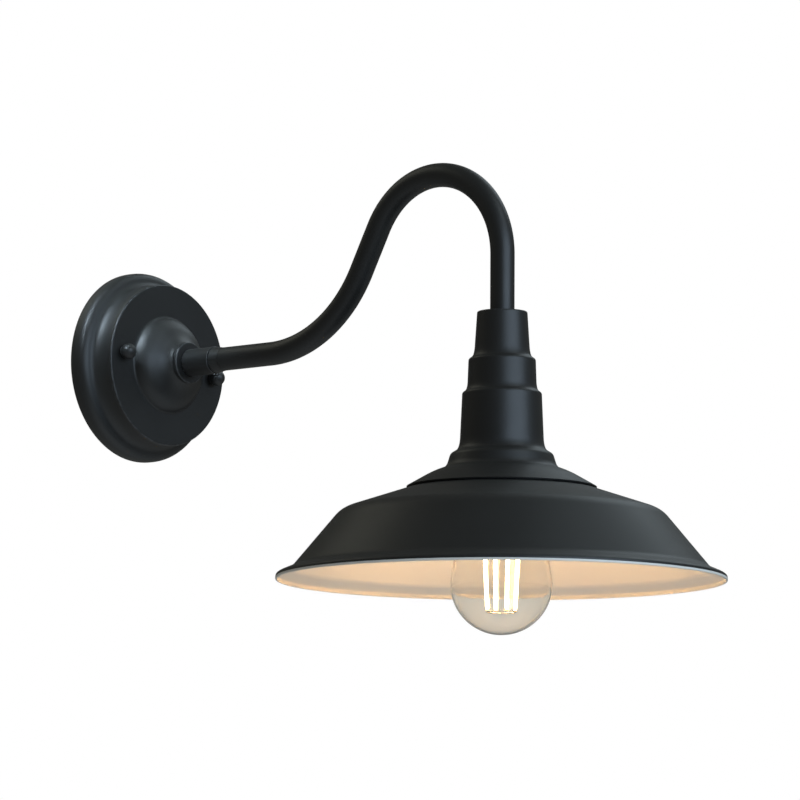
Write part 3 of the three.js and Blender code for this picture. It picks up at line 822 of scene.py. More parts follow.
@dataclass(frozen=True)
class PhosphorGlow(Look):
    """A lit phosphor strip: nearly white along its middle and amber at its two ends."""

    colour: Colour = (0.9, 0.62, 0.2)
    smooth: float = 0.4
    rough: float = 0.7
    grain_scale: float = 1500.0
    middle: Colour = (1.0, 0.78, 0.42)
    ends: Colour = (1.0, 0.45, 0.06)
    strength: float = 26.0

    def shader(self, sheet: Sheet) -> Socket:
        """Glows in the middle's colour, and in the ends' over the last tenth at each end.

        Args:
            sheet: The material that it is for.

        Returns:
            The shader.
        """
        graph = sheet.graph
        along = graph.add("Attribute", attribute_name="along").outputs["Fac"]
        from_middle = graph.math("ABSOLUTE", graph.math("SUBTRACT", along, 0.5))
        lifted = graph.math("ADD", from_middle, graph.math("MULTIPLY", sheet.grain.outputs["Height"], 0.05))
        cool = graph.add("MapRange", {0: lifted, 1: 0.40, 2: 0.5, 3: 0.0, 4: 1.0}).outputs[0]
        looks = {
            "Base Color": self.colour,
            "Roughness": sheet.grain.outputs["Roughness"],
            "Emission Color": graph.blend(cool, self.middle, self.ends),
            "Emission Strength": self.strength,
        }
        return graph.add("BsdfPrincipled", looks).outputs[0]


@dataclass(frozen=True)
class PaleFloor(Look):
    """A plain pale floor that is clear from underneath."""

    colour: Colour = (0.72, 0.72, 0.71)
    smooth: float = 0.8
    rough: float = 0.95
    grain_scale: float = 40.0
    shine_back: float = 0.10
    seen: float = 0.72

    def shader(self, sheet: Sheet) -> Socket:
        """Evenly lit where it is looked at, and dimmer as a light source.

        Args:
            sheet: The material that it is for.

        Returns:
            The shader.
        """
        graph = sheet.graph
        looked_at = graph.add("LightPath").outputs["Is Camera Ray"]
        looks = {
            "Base Color": self.colour,
            "Roughness": sheet.grain.outputs["Roughness"],
            "Emission Color": self.colour,
            "Emission Strength": graph.between(looked_at, self.shine_back, self.seen),
        }
        pale = graph.add("BsdfPrincipled", looks).outputs[0]
        clear = graph.add("BsdfTransparent").outputs[0]
        underneath = graph.add("NewGeometry").outputs["Backfacing"]
        return graph.add("MixShader", {0: underneath, 1: pale, 2: clear}).outputs[0]


BLACK_COAT = Finish(
    "black_powder_coat", Slot.BLACK_PAINT, (0.0130, 0.0132, 0.0130), smooth=0.40, rough=0.50,
    grain_scale=1100.0, grain_height=0.000012, tone=0.10, worn_colour=(0.045, 0.047, 0.05), wear=0.55,
    dust_colour=(0.055, 0.055, 0.045), dust=0.25,
)
WHITE_ENAMEL = Finish(
    "white_enamel", Slot.SHADE_ENAMEL, (0.82, 0.80, 0.75), smooth=0.28, rough=0.42,
    grain_scale=700.0, grain_height=0.000008, tone=0.02, dust_colour=(0.5, 0.47, 0.4), dust=0.05,
)
ZINC = Finish(
    "zinc_plate", Slot.ZINC_STEEL, (0.52, 0.53, 0.54), smooth=0.28, rough=0.48, metallic=1.0,
    grain_scale=1600.0, grain_height=0.000006, worn_colour=(0.7, 0.71, 0.72), wear=0.5,
)
BRASS = Finish(
    "turned_brass", Slot.BRASS, (0.70, 0.49, 0.20), smooth=0.22, rough=0.4, metallic=1.0,
    grain_scale=1500.0, grain_height=0.000005, worn_colour=(0.85, 0.66, 0.33), wear=0.5,
)
NICKEL = Finish(
    "satin_nickel", Slot.NICKEL, (0.66, 0.64, 0.60), smooth=0.18, rough=0.34, metallic=1.0,
    grain_scale=1500.0, grain_height=0.000004, worn_colour=(0.8, 0.78, 0.74), wear=0.4,
)
FOAM_RUBBER = Finish(
    "foam_rubber", Slot.SEAL_RUBBER, (0.018, 0.018, 0.019), smooth=0.75, rough=0.95,
    grain_scale=2200.0, grain_height=0.00012, tone=0.3,
)
GLAZED_PORCELAIN = Finish(
    "glazed_porcelain", Slot.PORCELAIN, (0.80, 0.78, 0.73), smooth=0.08, rough=0.2,
    grain_scale=260.0, grain_height=0.00003, tone=0.04, coat=0.5, coat_roughness=0.06,
)
BLOCK_NYLON = Finish(
    "moulded_nylon", Slot.BLOCK_PLASTIC, (0.74, 0.72, 0.66), smooth=0.42, rough=0.6,
    grain_scale=1300.0, grain_height=0.00002, tone=0.05,
)
RED_FIBRE = Finish(
    "red_fibre", Slot.FIBRE, (0.22, 0.045, 0.03), smooth=0.7, rough=0.9,
    grain_stretch=0.2, grain_height=0.00005, tone=0.3,
)
VITRITE = Finish(
    "black_vitrite", Slot.BLACK_GLASS, (0.012, 0.012, 0.014), smooth=0.04, rough=0.14,
    grain_scale=300.0, grain_height=0.00002,
)
PVC = {"smooth": 0.3, "rough": 0.45, "grain_scale": 500.0, "tone": 0.1}
BROWN_PVC = Finish("brown_pvc", Slot.LIVE_INSULATION, (0.10, 0.035, 0.015), **PVC)
BLUE_PVC = Finish("blue_pvc", Slot.NEUTRAL_INSULATION, (0.02, 0.07, 0.32), **PVC)
EARTH_PVC = StripedFinish("green_yellow_pvc", Slot.EARTH_INSULATION, (0.05, 0.26, 0.03), **PVC)
BULB_GLASS = ClearGlass("bulb_envelope_glass", Slot.BULB_GLASS)
STEM_GLASS = ClearGlass("stem_glass", Slot.BULB_GLASS, (0.95, 0.95, 0.93), grain_height=0.0001)
PHOSPHOR = PhosphorGlow("lit_phosphor", Slot.FILAMENT)


# ---------------------------------------------------------------- workshop


def placed(name: str, data: bpy.types.ID) -> bpy.types.Object:
    """Links a new object to the scene.

    Args:
        name: The object's name.
        data: Its mesh, lamp or lens.

    Returns:
        The object.
    """
    thing = bpy.data.objects.new(name, data)
    bpy.context.scene.collection.objects.link(thing)
    return thing


def smoothed(mesh: bpy.types.Mesh, sharp: float) -> None:
    """Shades a mesh smooth, except over edges that turn by more than this many degrees."""
    mesh.polygons.foreach_set("use_smooth", np.ones(len(mesh.polygons), bool))
    mesh.set_sharp_from_angle(angle=math.radians(sharp))


def span(node: str) -> tuple[np.ndarray, np.ndarray]:
    """Lowest and highest corner of a node of the frame, in millimetres."""
    low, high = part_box(node)
    return np.array(low) / MM, np.array(high) / MM


@dataclass
class Workshop:
    """Turns surfaces into named, dressed pieces that ride on the frame."""

    effects: Effects
    made: dict[str, bpy.types.Material] = field(default_factory=dict)
    count: int = 0

    def material(self, finish: Look) -> bpy.types.Material:
        """The finish's material, built the first time it is asked for."""
        if finish.name not in self.made:
            self.made[finish.name] = finish.material(self.effects)
        return self.made[finish.name]

    def dress(self, piece: bpy.types.Object, finish: Look, body: Body, *nodes: str) -> None:
        """Gives a piece its material and its body, and hides the nodes that it stands for.

        Args:
            piece: The new object, with its place in its mesh.
            finish: Its finish.
            body: The body that it rides on.
            *nodes: The frame's nodes that it stands for.
        """
        piece.data.materials.clear()
        piece.data.materials.append(self.material(finish))
        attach(piece, body.value)
        if nodes:
            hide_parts(*nodes)
        self.count += 1
        LOG.info("%s: %d faces, on %s", piece.name, len(piece.data.polygons), body.value)

    def mesh_of(self, name: str, surfaces: Sequence[Surface], sharp: float) -> bpy.types.Object:
        """Joins surfaces into one mesh object at the origin.

        Args:
            name: The object's name.
            surfaces: The surfaces, which keep their own points.
            sharp: Edges that turn by more than this many degrees stay sharp.

        Returns:
            The object.
        """
        starts = np.cumsum([0] + [len(surface.points) for surface in surfaces[:-1]])
        points = np.concatenate([surface.points for surface in surfaces])
        faces = np.concatenate([surface.faces + start for surface, start in zip(surfaces, starts)])
        mesh = bpy.data.meshes.new(name)
        mesh.from_pydata(points.tolist(), [], faces.tolist())
        for label in ("edge", "along", "around"):
            values = np.concatenate([getattr(surface, label) for surface in surfaces])
            mesh.attributes.new(label, "FLOAT", "POINT").data.foreach_set("value", values.astype(np.float32))
        close_poles(mesh)
        smoothed(mesh, sharp)
        return placed(name, mesh)

    def build(
        self,
        name: str,
        surfaces: Union[Surface, Sequence[Surface]],
        finish: Look,
        *nodes: str,
        body: Body = Body.ROOT,
        sharp: float = 38.0,
        cutters: Sequence[bpy.types.Object] = (),
    ) -> bpy.types.Object:
        """Makes and dresses one piece.

        Args:
            name: The piece's name.
            surfaces: Its surface, or several.
            finish: Its finish.
            *nodes: The frame's nodes that it stands for.
            body: The body that it rides on.
            sharp: Edges that turn by more than this many degrees stay sharp.
            cutters: Objects that are cut out of it and then removed.

        Returns:
            The piece.
        """
        several = [surfaces] if isinstance(surfaces, Surface) else list(surfaces)
        piece = self.mesh_of(name, several, sharp)
        if cutters:
            carve(piece, cutters, sharp)
        self.dress(piece, finish, body, *nodes)
        return piece

    def copy_of(self, name: str, node: str, bevel: float, finish: Look) -> bpy.types.Object:
        """A merged copy of a node, with its edges broken by a bevel.

        Args:
            name: The piece's name.
            node: The frame's node, which it stands for.
            bevel: Width of the bevel, in millimetres.
            finish: Its finish.

        Returns:
            The piece.
        """
        mesh = bpy.data.objects[node].data.copy()
        mesh.name = name
        shape = bmesh.new()
        shape.from_mesh(mesh)
        bmesh.ops.remove_doubles(shape, verts=shape.verts, dist=1e-6)
        flat = math.radians(0.5)
        bmesh.ops.dissolve_limit(shape, angle_limit=flat, verts=shape.verts, edges=shape.edges)
        shape.to_mesh(mesh)
        shape.free()
        piece = placed(name, mesh)
        rim = piece.modifiers.new("broken_edges", "BEVEL")
        rim.width = bevel * MM
        rim.segments = 3
        rim.limit_method = "ANGLE"
        rim.angle_limit = math.radians(40)
        smoothed(mesh, 30.0)
        self.dress(piece, finish, Body.ROOT, node)
        return piece


def close_poles(mesh: bpy.types.Mesh) -> None:
    """Merges points that lie together, which closes a ring of no radius into one point.

    Args:
        mesh: The mesh, which is changed.
    """
    shape = bmesh.new()
    shape.from_mesh(mesh)
    bmesh.ops.remove_doubles(shape, verts=shape.verts, dist=1e-7)
    shape.to_mesh(mesh)
    shape.free()


def carve(piece: bpy.types.Object, cutters: Sequence[bpy.types.Object], sharp: float) -> None:
    """Cuts other objects out of a piece and removes them.

    Args:
        piece: The piece, which keeps its place.
        cutters: Closed objects.
        sharp: Edges that turn by more than this many degrees stay sharp.
    """
    for number, cutter in enumerate(cutters):
        step = piece.modifiers.new(f"cut_{number}", "BOOLEAN")
        step.operation = "DIFFERENCE"
        step.solver = "EXACT"
        step.object = cutter
    bpy.context.view_layer.update()
    graph = bpy.context.evaluated_depsgraph_get()
    cut = bpy.data.meshes.new_from_object(piece.evaluated_get(graph))
    piece.modifiers.clear()
    piece.data = cut
    for cutter in cutters:
        bpy.data.objects.remove(cutter, do_unlink=True)
    smoothed(cut, sharp)


def box_cutter(
    axis: Axis, size: tuple[float, float, float], centre: tuple[float, float, float]
) -> bpy.types.Object:
    """A box that lies square to an axis, to cut a slot with.

    Args:
        axis: The axis.
        size: Its size across, up and along.
        centre: Its centre on the axis's directions.

    Returns:
        The box.
    """
    signs = np.array([[x, y, z] for x in (-1, 1) for y in (-1, 1) for z in (-1, 1)]) / 2
    local = signs * np.array(size) + np.array(centre)
    points = MM * (axis.origin + local @ np.stack([axis.across, axis.up, axis.along]))
    faces = [(0, 1, 3, 2), (4, 6, 7, 5), (0, 4, 5, 1), (2, 3, 7, 6), (0, 2, 6, 4), (1, 5, 7, 3)]
    mesh = bpy.data.meshes.new("cutter")
    mesh.from_pydata(points.tolist(), [], faces)
    return placed("cutter", mesh)


# ---------------------------------------------------------------- the light


@dataclass(frozen=True)
class Layout:
    """The frame's two main axes and the sizes that several sub-assemblies share."""

    wall: Axis
    shade: Axis
    studs: tuple[Axis, Axis]
    thread_radius: float = 5.0
    thread_bore: float = 3.6
    thread_pitch: float = 1.0
    washer_radius: float = 9.0
    washer_thickness: float = 1.0
    nut_across: float = 17.0
    nut_thickness: float = 5.0
    gap: float = 0.3

    @property
    def hole(self) -> float:
        """The bore of what the hollow thread passes through."""
        return self.thread_radius + self.gap

    @property
    def plug_bore(self) -> float:
        """The narrow end of a plug's bore, past the end of the thread."""
        return self.thread_bore + 0.4

    def washer(self, axis: Axis, low: float) -> Surface:
        """A washer on the hollow thread, from this height on the axis."""
        section = ring_section(self.hole, self.washer_radius, low, low + self.washer_thickness, 0.2)
        return axis.turned(section, 60)

    def nut(self, axis: Axis, low: float) -> Surface:
        """A nut on the hollow thread, from this height on the axis."""
        return axis.hexagon(self.nut_across, self.hole, low, low + self.nut_thickness)

    def nipple(self, axis: Axis, low: float, high: float) -> Surface:
        """The hollow thread itself, between two heights on the axis."""
        return axis.rod(self.thread_radius, low, high, self.thread_pitch, self.thread_bore, 32)

    @staticmethod
    def from_frame() -> "Layout":
        """Reads the shade's axis and the two studs' axes from the frame's nodes.

        Returns:
            The layout.
        """
        x, y, z = np.eye(3)
        reach = sum(span("neck"))[1] / 2
        wall = Axis(np.zeros(3), x, z, -y)
        shade = Axis(np.array([0.0, reach, 0.0]), x, y, z)
        centres = [sum(span(node)) / 2 for node in ("stud_left", "stud_right")]
        studs = tuple(wall.shifted(centre[0], centre[2]) for centre in centres)
        return Layout(wall, shade, studs)


@dataclass
class WallPlate:
    """The seal, the stepped base shell and the cover with its boss."""

    layout: Layout
    base_radius: float = 57.8
    step_radius: float = 47.6
    base_front: float = 26.7
    base_foot: float = 2.0
    base_wall: float = 1.0
    cover_radius: float = 49.2
    cover_face: float = 29.3
    cover_wall: float = 1.0
    boss_radius: float = 29.2
    boss_tip: float = 45.3
    stud_hole: float = 2.4

    def base_shell(self) -> Surface:
        """The stepped shell: a straight rim, a rounded shoulder, a cove and a straight front."""
        corners = [
            (self.base_radius - 7.4, self.base_foot), (self.base_radius, self.base_foot, 3.4, 4.2),
            (self.base_radius, self.base_foot + 11.6, 5.4, 5.3),
            (self.step_radius + 0.8, self.base_foot + 13.8, 4.4, 9.0),
            (self.step_radius, self.base_front, 1.6), (self.step_radius - 5.0, self.base_front),
        ]
        return self.layout.wall.turned(walled(open_section(corners, 14), -self.base_wall), 192)

    def cover_shell(self) -> Surface:
        """The flat disc with a rounded edge, which rises in an ogee to the boss's flat tip.

        Returns:
            The cover's surface.
        """
        face, boss = self.cover_face, self.boss_radius
        corners = [
            (self.cover_radius, self.base_front + self.layout.gap), (self.cover_radius, face, 1.2),
            (boss, face, 1.1, 1.3), (boss - 3.0, face + 6.6, 5.9, 6.8),
            (boss - 14.8, face + 11.8, 6.1, 3.6), (boss - 17.6, self.boss_tip, 1.4),
            (self.layout.hole, self.boss_tip),
        ]
        return self.layout.wall.turned(walled(open_section(corners, 14), -self.cover_wall), 192)

    def build(self, shop: Workshop) -> None:
        """Builds and dresses the three pieces.

        Args:
            shop: What makes and dresses the pieces.
        """
        seal = ring_section(self.base_radius - 7.2, self.base_radius - 4.0, 0.0, 1.7, 0.5)
        shop.build("gasket", self.layout.wall.turned(seal, 160), FOAM_RUBBER, "wall_seal")
        shop.build("base_shell", self.base_shell(), BLACK_COAT, "wall_base")
        holes = []
        for number, stud in enumerate(self.layout.studs):
            plug = ring_section(0.0, self.stud_hole, self.cover_face - 5, self.cover_face + 5, 0.0)
            holes.append(shop.mesh_of(f"plug_{number}", [stud.turned(plug, 40)], 30.0))
        shop.build("cover_shell", self.cover_shell(), BLACK_COAT, "cover_plate", cutters=holes)


@dataclass
class WallFixings:
    """The mounting bracket, its studs and nuts, the earth screw and the terminal block."""

    layout: Layout
    stud_radius: float = 2.0
    stud_pitch: float = 0.7
    ball_radius: float = 4.8
    ball_foot: float = 3.6
    ball_seat: float = 29.6
    block_top: float = 15.3
    block_pitch: float = 10.0
    screw_offset: float = 4.0

    def ball(self, stud: Axis) -> Surface:
        """The ball nut: a bored foot under a part of a sphere, R cos a and centre + R sin a.

        Args:
            stud: The stud's axis.

        Returns:
            The nut's surface.
        """
        centre = -span("ball_nut_left")[0][1] - self.ball_radius
        bore_end = centre + self.ball_radius / 2
        from_foot = -math.acos(self.ball_foot / self.ball_radius)
        angle = np.linspace(from_foot, math.pi / 2, 28)
        globe = np.stack([np.cos(angle), np.sin(angle)], axis=1) * self.ball_radius + [0.0, centre]
        bore = self.stud_radius + 0.4
        foot = [
            [0.0, bore_end], [bore, bore_end], [bore, self.ball_seat + 0.3],
            [bore + 0.3, self.ball_seat], [self.ball_foot - 0.25, self.ball_seat],
            [self.ball_foot, self.ball_seat + 0.25],
        ]
        section = np.concatenate([np.array(foot), globe])
        section[-1, 0] = 0.0
        return stud.turned(section, 48, closed=False)

    def screw_head(
        self, axis: Axis, radius: float, low: float, high: float
    ) -> tuple[Surface, bpy.types.Object]:
        """A round head and the box that cuts its slot.

        Args:
            axis: The screw's axis.
            radius: The head's radius.
            low: Its underside.
            high: Its top.

        Returns:
            The head and the cutter.
        """
        corners = [(0.0, low), (radius, low, 0.15), (radius, high, 0.45), (0.0, high)]
        head = axis.turned(open_section(corners, 5), 40, closed=False)
        cutter = box_cutter(axis, (2.4 * radius, 0.28 * radius, 1.2), (0.0, 0.0, high - 0.1))
        return head, cutter

    def build_studs(self, shop: Workshop) -> None:
        """Builds the two studs, their locknuts and the ball nuts that hold the cover."""
        sides = (("left", Body.LEFT_NUT), ("right", Body.RIGHT_NUT))
        for (word, body), stud in zip(sides, self.layout.studs):
            tip = -span(f"stud_{word}")[0][1]
            rod = stud.rod(self.stud_radius, 0.0, tip, self.stud_pitch, segments=20)
            shop.build(f"threaded_stud_{word}", rod, ZINC, f"stud_{word}")
            nut = stud.hexagon(7.0, self.stud_radius + self.layout.gap, 2.3, 5.5)
            shop.build(f"hex_nut_{word}", nut, ZINC, f"stud_locknut_{word}", sharp=25.0)
            name = f"ball_knob_{word}"
            shop.build(name, self.ball(stud), BLACK_COAT, f"ball_nut_{word}", body=body)

    def build_block(self, shop: Workshop) -> None:
        """Builds the bracket, the terminal block and their screws.

        Args:
            shop: What makes and dresses the pieces.
        """
        shop.copy_of("bracket_strap", "mounting_bracket", 0.3, ZINC)
        shop.copy_of("connector_block", "terminal_block", 0.4, BLOCK_NYLON)
        for pole, word in enumerate(("live", "earth", "neutral")):
            axis = self.layout.wall.shifted((pole - 1) * self.block_pitch, self.screw_offset)
            head, slot = self.screw_head(axis, 1.95, self.block_top - 2.6, self.block_top - 0.7)
            name, node = f"{word}_clamp_screw", f"{word}_terminal_screw"
            shop.build(name, head, BRASS, node, cutters=[slot])
        low, high = span("earth_screw")
        axis = self.layout.wall.shifted((low[0] + high[0]) / 2, (low[2] + high[2]) / 2)
        head, slot = self.screw_head(axis, 3.6, 3.1, -low[1])
        shank = axis.rod(1.95, 0.3, 3.4, 0.7, segments=20)
        screw = [head, shank]
        shop.build("earth_clamp_screw", screw, BRASS, "earth_screw", cutters=[slot])

    def build(self, shop: Workshop) -> None:
        """Builds everything behind the cover and the two knobs on it."""
        self.build_studs(shop)
        self.build_block(shop)


@dataclass
class Arm:
    """The gooseneck tube, its turned fittings at the wall and the nipple and nut inside the cover."""

    layout: Layout
    radius: float = 7.08
    wall: float = 1.2
    start: float = 77.3
    sweep_start: float = 115.0
    sweep_radius: float = 83.0
    climb: float = math.radians(61.2)
    crown_radius: float = 51.5
    end_height: float = 9.9
    station: float = 1.4
    ring_radius: float = 12.5
    ring_span: tuple[float, float] = (45.6, 48.3)
    coupling_radius: float = 8.3
    coupling_span: tuple[float, float] = (48.6, 69.7)
    ferrule_start: float = 70.0
    washer_start: float = 43.0
    nut_start: float = 37.7

    def line(self, start: Optional[float] = None, end: Optional[float] = None) -> np.ndarray:
        """The tube's centre line, whose heading is a straight or a steady turn from stretch to stretch.

        The place is the sum of (cos, sin) of the heading over small steps of length.

        Args:
            start: Distance from the wall to its first point, or the tube's own.
            end: Height of its last point, or the tube's own.

        Returns:
            Points in millimetres.
        """
        start = self.start if start is None else start
        end = self.end_height if end is None else end
        reach = -self.layout.shade.origin[1]
        climb, crown = self.climb, self.crown_radius
        sweep_out = self.sweep_radius * math.sin(climb)
        crown_out = crown * (1 + math.sin(climb))
        straight = (reach - crown_out - self.sweep_start - sweep_out) / math.cos(climb)
        sweep_up = self.sweep_radius * (1 - math.cos(climb))
        drop = sweep_up + straight * math.sin(climb) - crown * math.cos(climb) - end
        stretches = [
            self.sweep_start - start,
            self.sweep_radius * climb,
            straight,
            crown * (climb + math.pi / 2),
            drop,
        ]
        marks = np.concatenate([[0.0], np.cumsum(stretches)])
        headings = [0.0, 0.0, climb, climb, -math.pi / 2, -math.pi / 2]
        fine = np.linspace(0.0, marks[-1], 6001)
        heading = np.interp((fine[1:] + fine[:-1]) / 2, marks, headings)
        step = fine[1]
        out = start + np.concatenate([[0.0], np.cumsum(np.cos(heading) * step)])
        up = np.concatenate([[0.0], np.cumsum(np.sin(heading) * step)])
        stations = np.linspace(0.0, marks[-1], int(marks[-1] / self.station))
        line_out, line_up = np.interp(stations, fine, out), np.interp(stations, fine, up)
        return np.stack([np.zeros(len(stations)), -line_out, line_up], axis=1)

    def ferrule(self) -> Surface:
        """The plug in the tube's end: a beaded rim that narrows to the tube, then the spigot inside it.

        Returns:
            The plug's surface.
        """
        bore, inner, start = self.layout.hole, self.layout.plug_bore, self.ferrule_start
        shoulder = self.start - self.layout.gap
        spigot = self.radius - self.wall - self.layout.gap
        corners = [
            (bore, start), (self.radius + 0.9, start, 0.7), (self.radius + 0.7, start + 1.6, 0.7),
            (self.radius, shoulder - 0.6, 0.9, 0.4), (self.radius, shoulder), (spigot, shoulder),
            (spigot, shoulder + 14.0, 0.4), (inner, shoulder + 14.0), (inner, shoulder + 7.0),
            (bore, shoulder + 7.0),
        ]
        return self.layout.wall.turned(rounded(corners, 6), 72)

    def build(self, shop: Workshop) -> None:
        """Builds the tube and its fittings.

        Args:
            shop: What makes and dresses the pieces.
        """
        wall, layout, hole = self.layout.wall, self.layout, self.layout.hole
        tube = tube_along(self.line(), np.array([1.0, 0.0, 0.0]), self.radius, self.radius - self.wall, 56)
        shop.build("gooseneck_tube", tube, BLACK_COAT, "arm_tube", sharp=50.0)
        ring = wall.turned(ring_section(hole, self.ring_radius, *self.ring_span, 0.8), 96)
        shop.build("boss_collar", ring, BLACK_COAT, "boss_ring")
        coupling = wall.turned(ring_section(hole, self.coupling_radius, *self.coupling_span, 0.6), 72)
        shop.build("coupling_sleeve", coupling, BLACK_COAT, "arm_coupling")
        shop.build("ferrule_plug", self.ferrule(), BLACK_COAT, "arm_ferrule")
        shop.build("cover_washer", layout.washer(wall, self.washer_start), ZINC, "cover_lock_washer")
        shop.build("cover_hex_nut", layout.nut(wall, self.nut_start), BRASS, "cover_locknut", sharp=25.0)
        low, high = span("wall_nipple")
        shop.build("wall_thread_tube", layout.nipple(wall, -high[1], -low[1]), ZINC, "wall_nipple")


@dataclass
class Neck:
    """The stepped neck over the lampholder, and what hangs it from the arm."""

    layout: Layout
    top: float = 9.6
    wall: float = 0.9
    bush_radius: float = 5.7

    def shell(self) -> Surface:
        """Three slightly tapered tiers and a collar, with a soft step between each, then the skirt."""
        corners = [
            (self.layout.hole, self.top), (14.55, self.top, 1.0), (16.2, -15.9, 5.4, 1.8),
            (19.45, -18.3, 0.8, 0.9), (20.05, -35.6, 4.8, 1.7), (23.0, -37.9, 0.8, 0.9),
            (24.4, -70.0, 6.2, 2.6), (29.7, -73.3, 1.3, 1.3), (32.0, -80.9, 3.2, 2.4),
            (40.0, -83.7, 5.0), (54.9, -92.2),
        ]
        return self.layout.shade.turned(walled(open_section(corners, 12), self.wall), 160)

    def build(self, shop: Workshop) -> None:
        """Builds the shell and its fittings.

        Args:
            shop: What makes and dresses the pieces.
        """
        axis, layout = self.layout.shade, self.layout
        shop.build("stepped_neck", self.shell(), BLACK_COAT, "neck")
        shop.build("neck_washer", layout.washer(axis, self.top - 2.2), ZINC, "neck_lock_washer")
        shop.build("neck_hex_nut", layout.nut(axis, self.top - 7.5), ZINC, "neck_locknut", sharp=25.0)
        (_, _, low), (_, _, high) = span("arm_end_bush")
        hole, inner = layout.hole, layout.plug_bore
        corners = [
            (hole, low, 0.2), (self.bush_radius, low, 0.3), (self.bush_radius, high, 0.3),
            (inner, high), (inner, high - 4.0), (hole, high - 4.0),
        ]
        bush = axis.turned(rounded(corners, 4), 60)
        shop.build("arm_bush", bush, ZINC, "arm_end_bush")
        low, high = span("lamp_nipple")
        shop.build("lamp_thread_tube", layout.nipple(axis, low[2], high[2]), ZINC, "lamp_nipple")


@dataclass
class Shade:
    """The spun shade: a black coat outside, white enamel inside and round the lip."""

    layout: Layout
    hole: float = 20.6
    top: float = -88.7
    wall: float = 0.9
    coat_share: float = 0.62
    rim_radius: float = 130.0
    rim: float = -146.5
    lip: float = 1.5

    def section(self) -> np.ndarray:
        """The outside, from the hole in the crown to the lip: flat, top cone, side cone, flare and rim."""
        corners = [
            (self.hole, self.top), (39.6, self.top, 1.8), (92.9, -106.2, 5.0), (120.6, -139.4, 2.0),
            (129.6, -143.2, 2.2, 0.9), (self.rim_radius, self.rim + self.lip),
        ]
        return open_section(corners, 12)

    def build(self, shop: Workshop) -> None:
        """Builds the outer coat's shell, the enamelled lining with its lip, the washer and the ring.

        Args:
            shop: What makes and dresses the pieces.
        """
        axis = self.layout.shade
        outside = self.section()
        shell = walled(outside, self.wall * self.coat_share)
        shop.build("shade_shell", axis.turned(shell, 256), BLACK_COAT, "shade")
        seam = moved_right(outside, self.wall * self.coat_share + 0.02)
        inside = moved_right(outside, self.wall)
        lip_top = self.rim + self.lip - 0.05
        lip = [
            (inside[-1, 0], inside[-1, 1]), (inside[-1, 0] - 0.35, self.rim, 0.6),
            (self.rim_radius, self.rim, 0.6), (self.rim_radius, lip_top, 0.3), (seam[-1, 0], lip_top),
        ]
        lining = np.concatenate([inside[:-1], rounded(lip, 6), seam[::-1][1:]])
        shop.build("shade_lining", axis.turned(lining, 256), WHITE_ENAMEL, "shade")
        washer = ring_section(20.0, 26.6, -90.7, -89.9, 0.15)
        shop.build("fibre_washer", axis.turned(washer, 96), RED_FIBRE, "shade_washer")
        shop.build("ribbed_ring", self.ribbed_ring(), GLAZED_PORCELAIN, "shade_ring", body=Body.RING)

    def ribbed_ring(self) -> Surface:
        """The shade ring: its flange has ribs to grip, radius - 0.7 sin(12 t)^8 on its rim.

        Returns:
            The ring's surface.
        """
        corners = [
            (20.05, -91.0, 0.2), (26.5, -91.0, 0.3), (26.5, -92.6, 0.5), (22.1, -93.8, 0.6),
            (21.9, -97.0, 0.6), (20.05, -97.0, 0.3),
        ]
        section = rounded(corners, 5)
        segments = 384
        turn = np.linspace(0.0, TAU, segments, endpoint=False)
        share = np.clip((section[:, :1] - 24.0) / 2.0, 0.0, 1.0)
        radius = section[:, :1] - 0.7 * share * np.sin(12 * turn)[None, :] ** 8
        return skin(self.layout.shade.grid(section[:, 1], radius, segments), sharpness(section))


THREAD_PITCH = 3.63
THREAD_DEPTH = 1.1


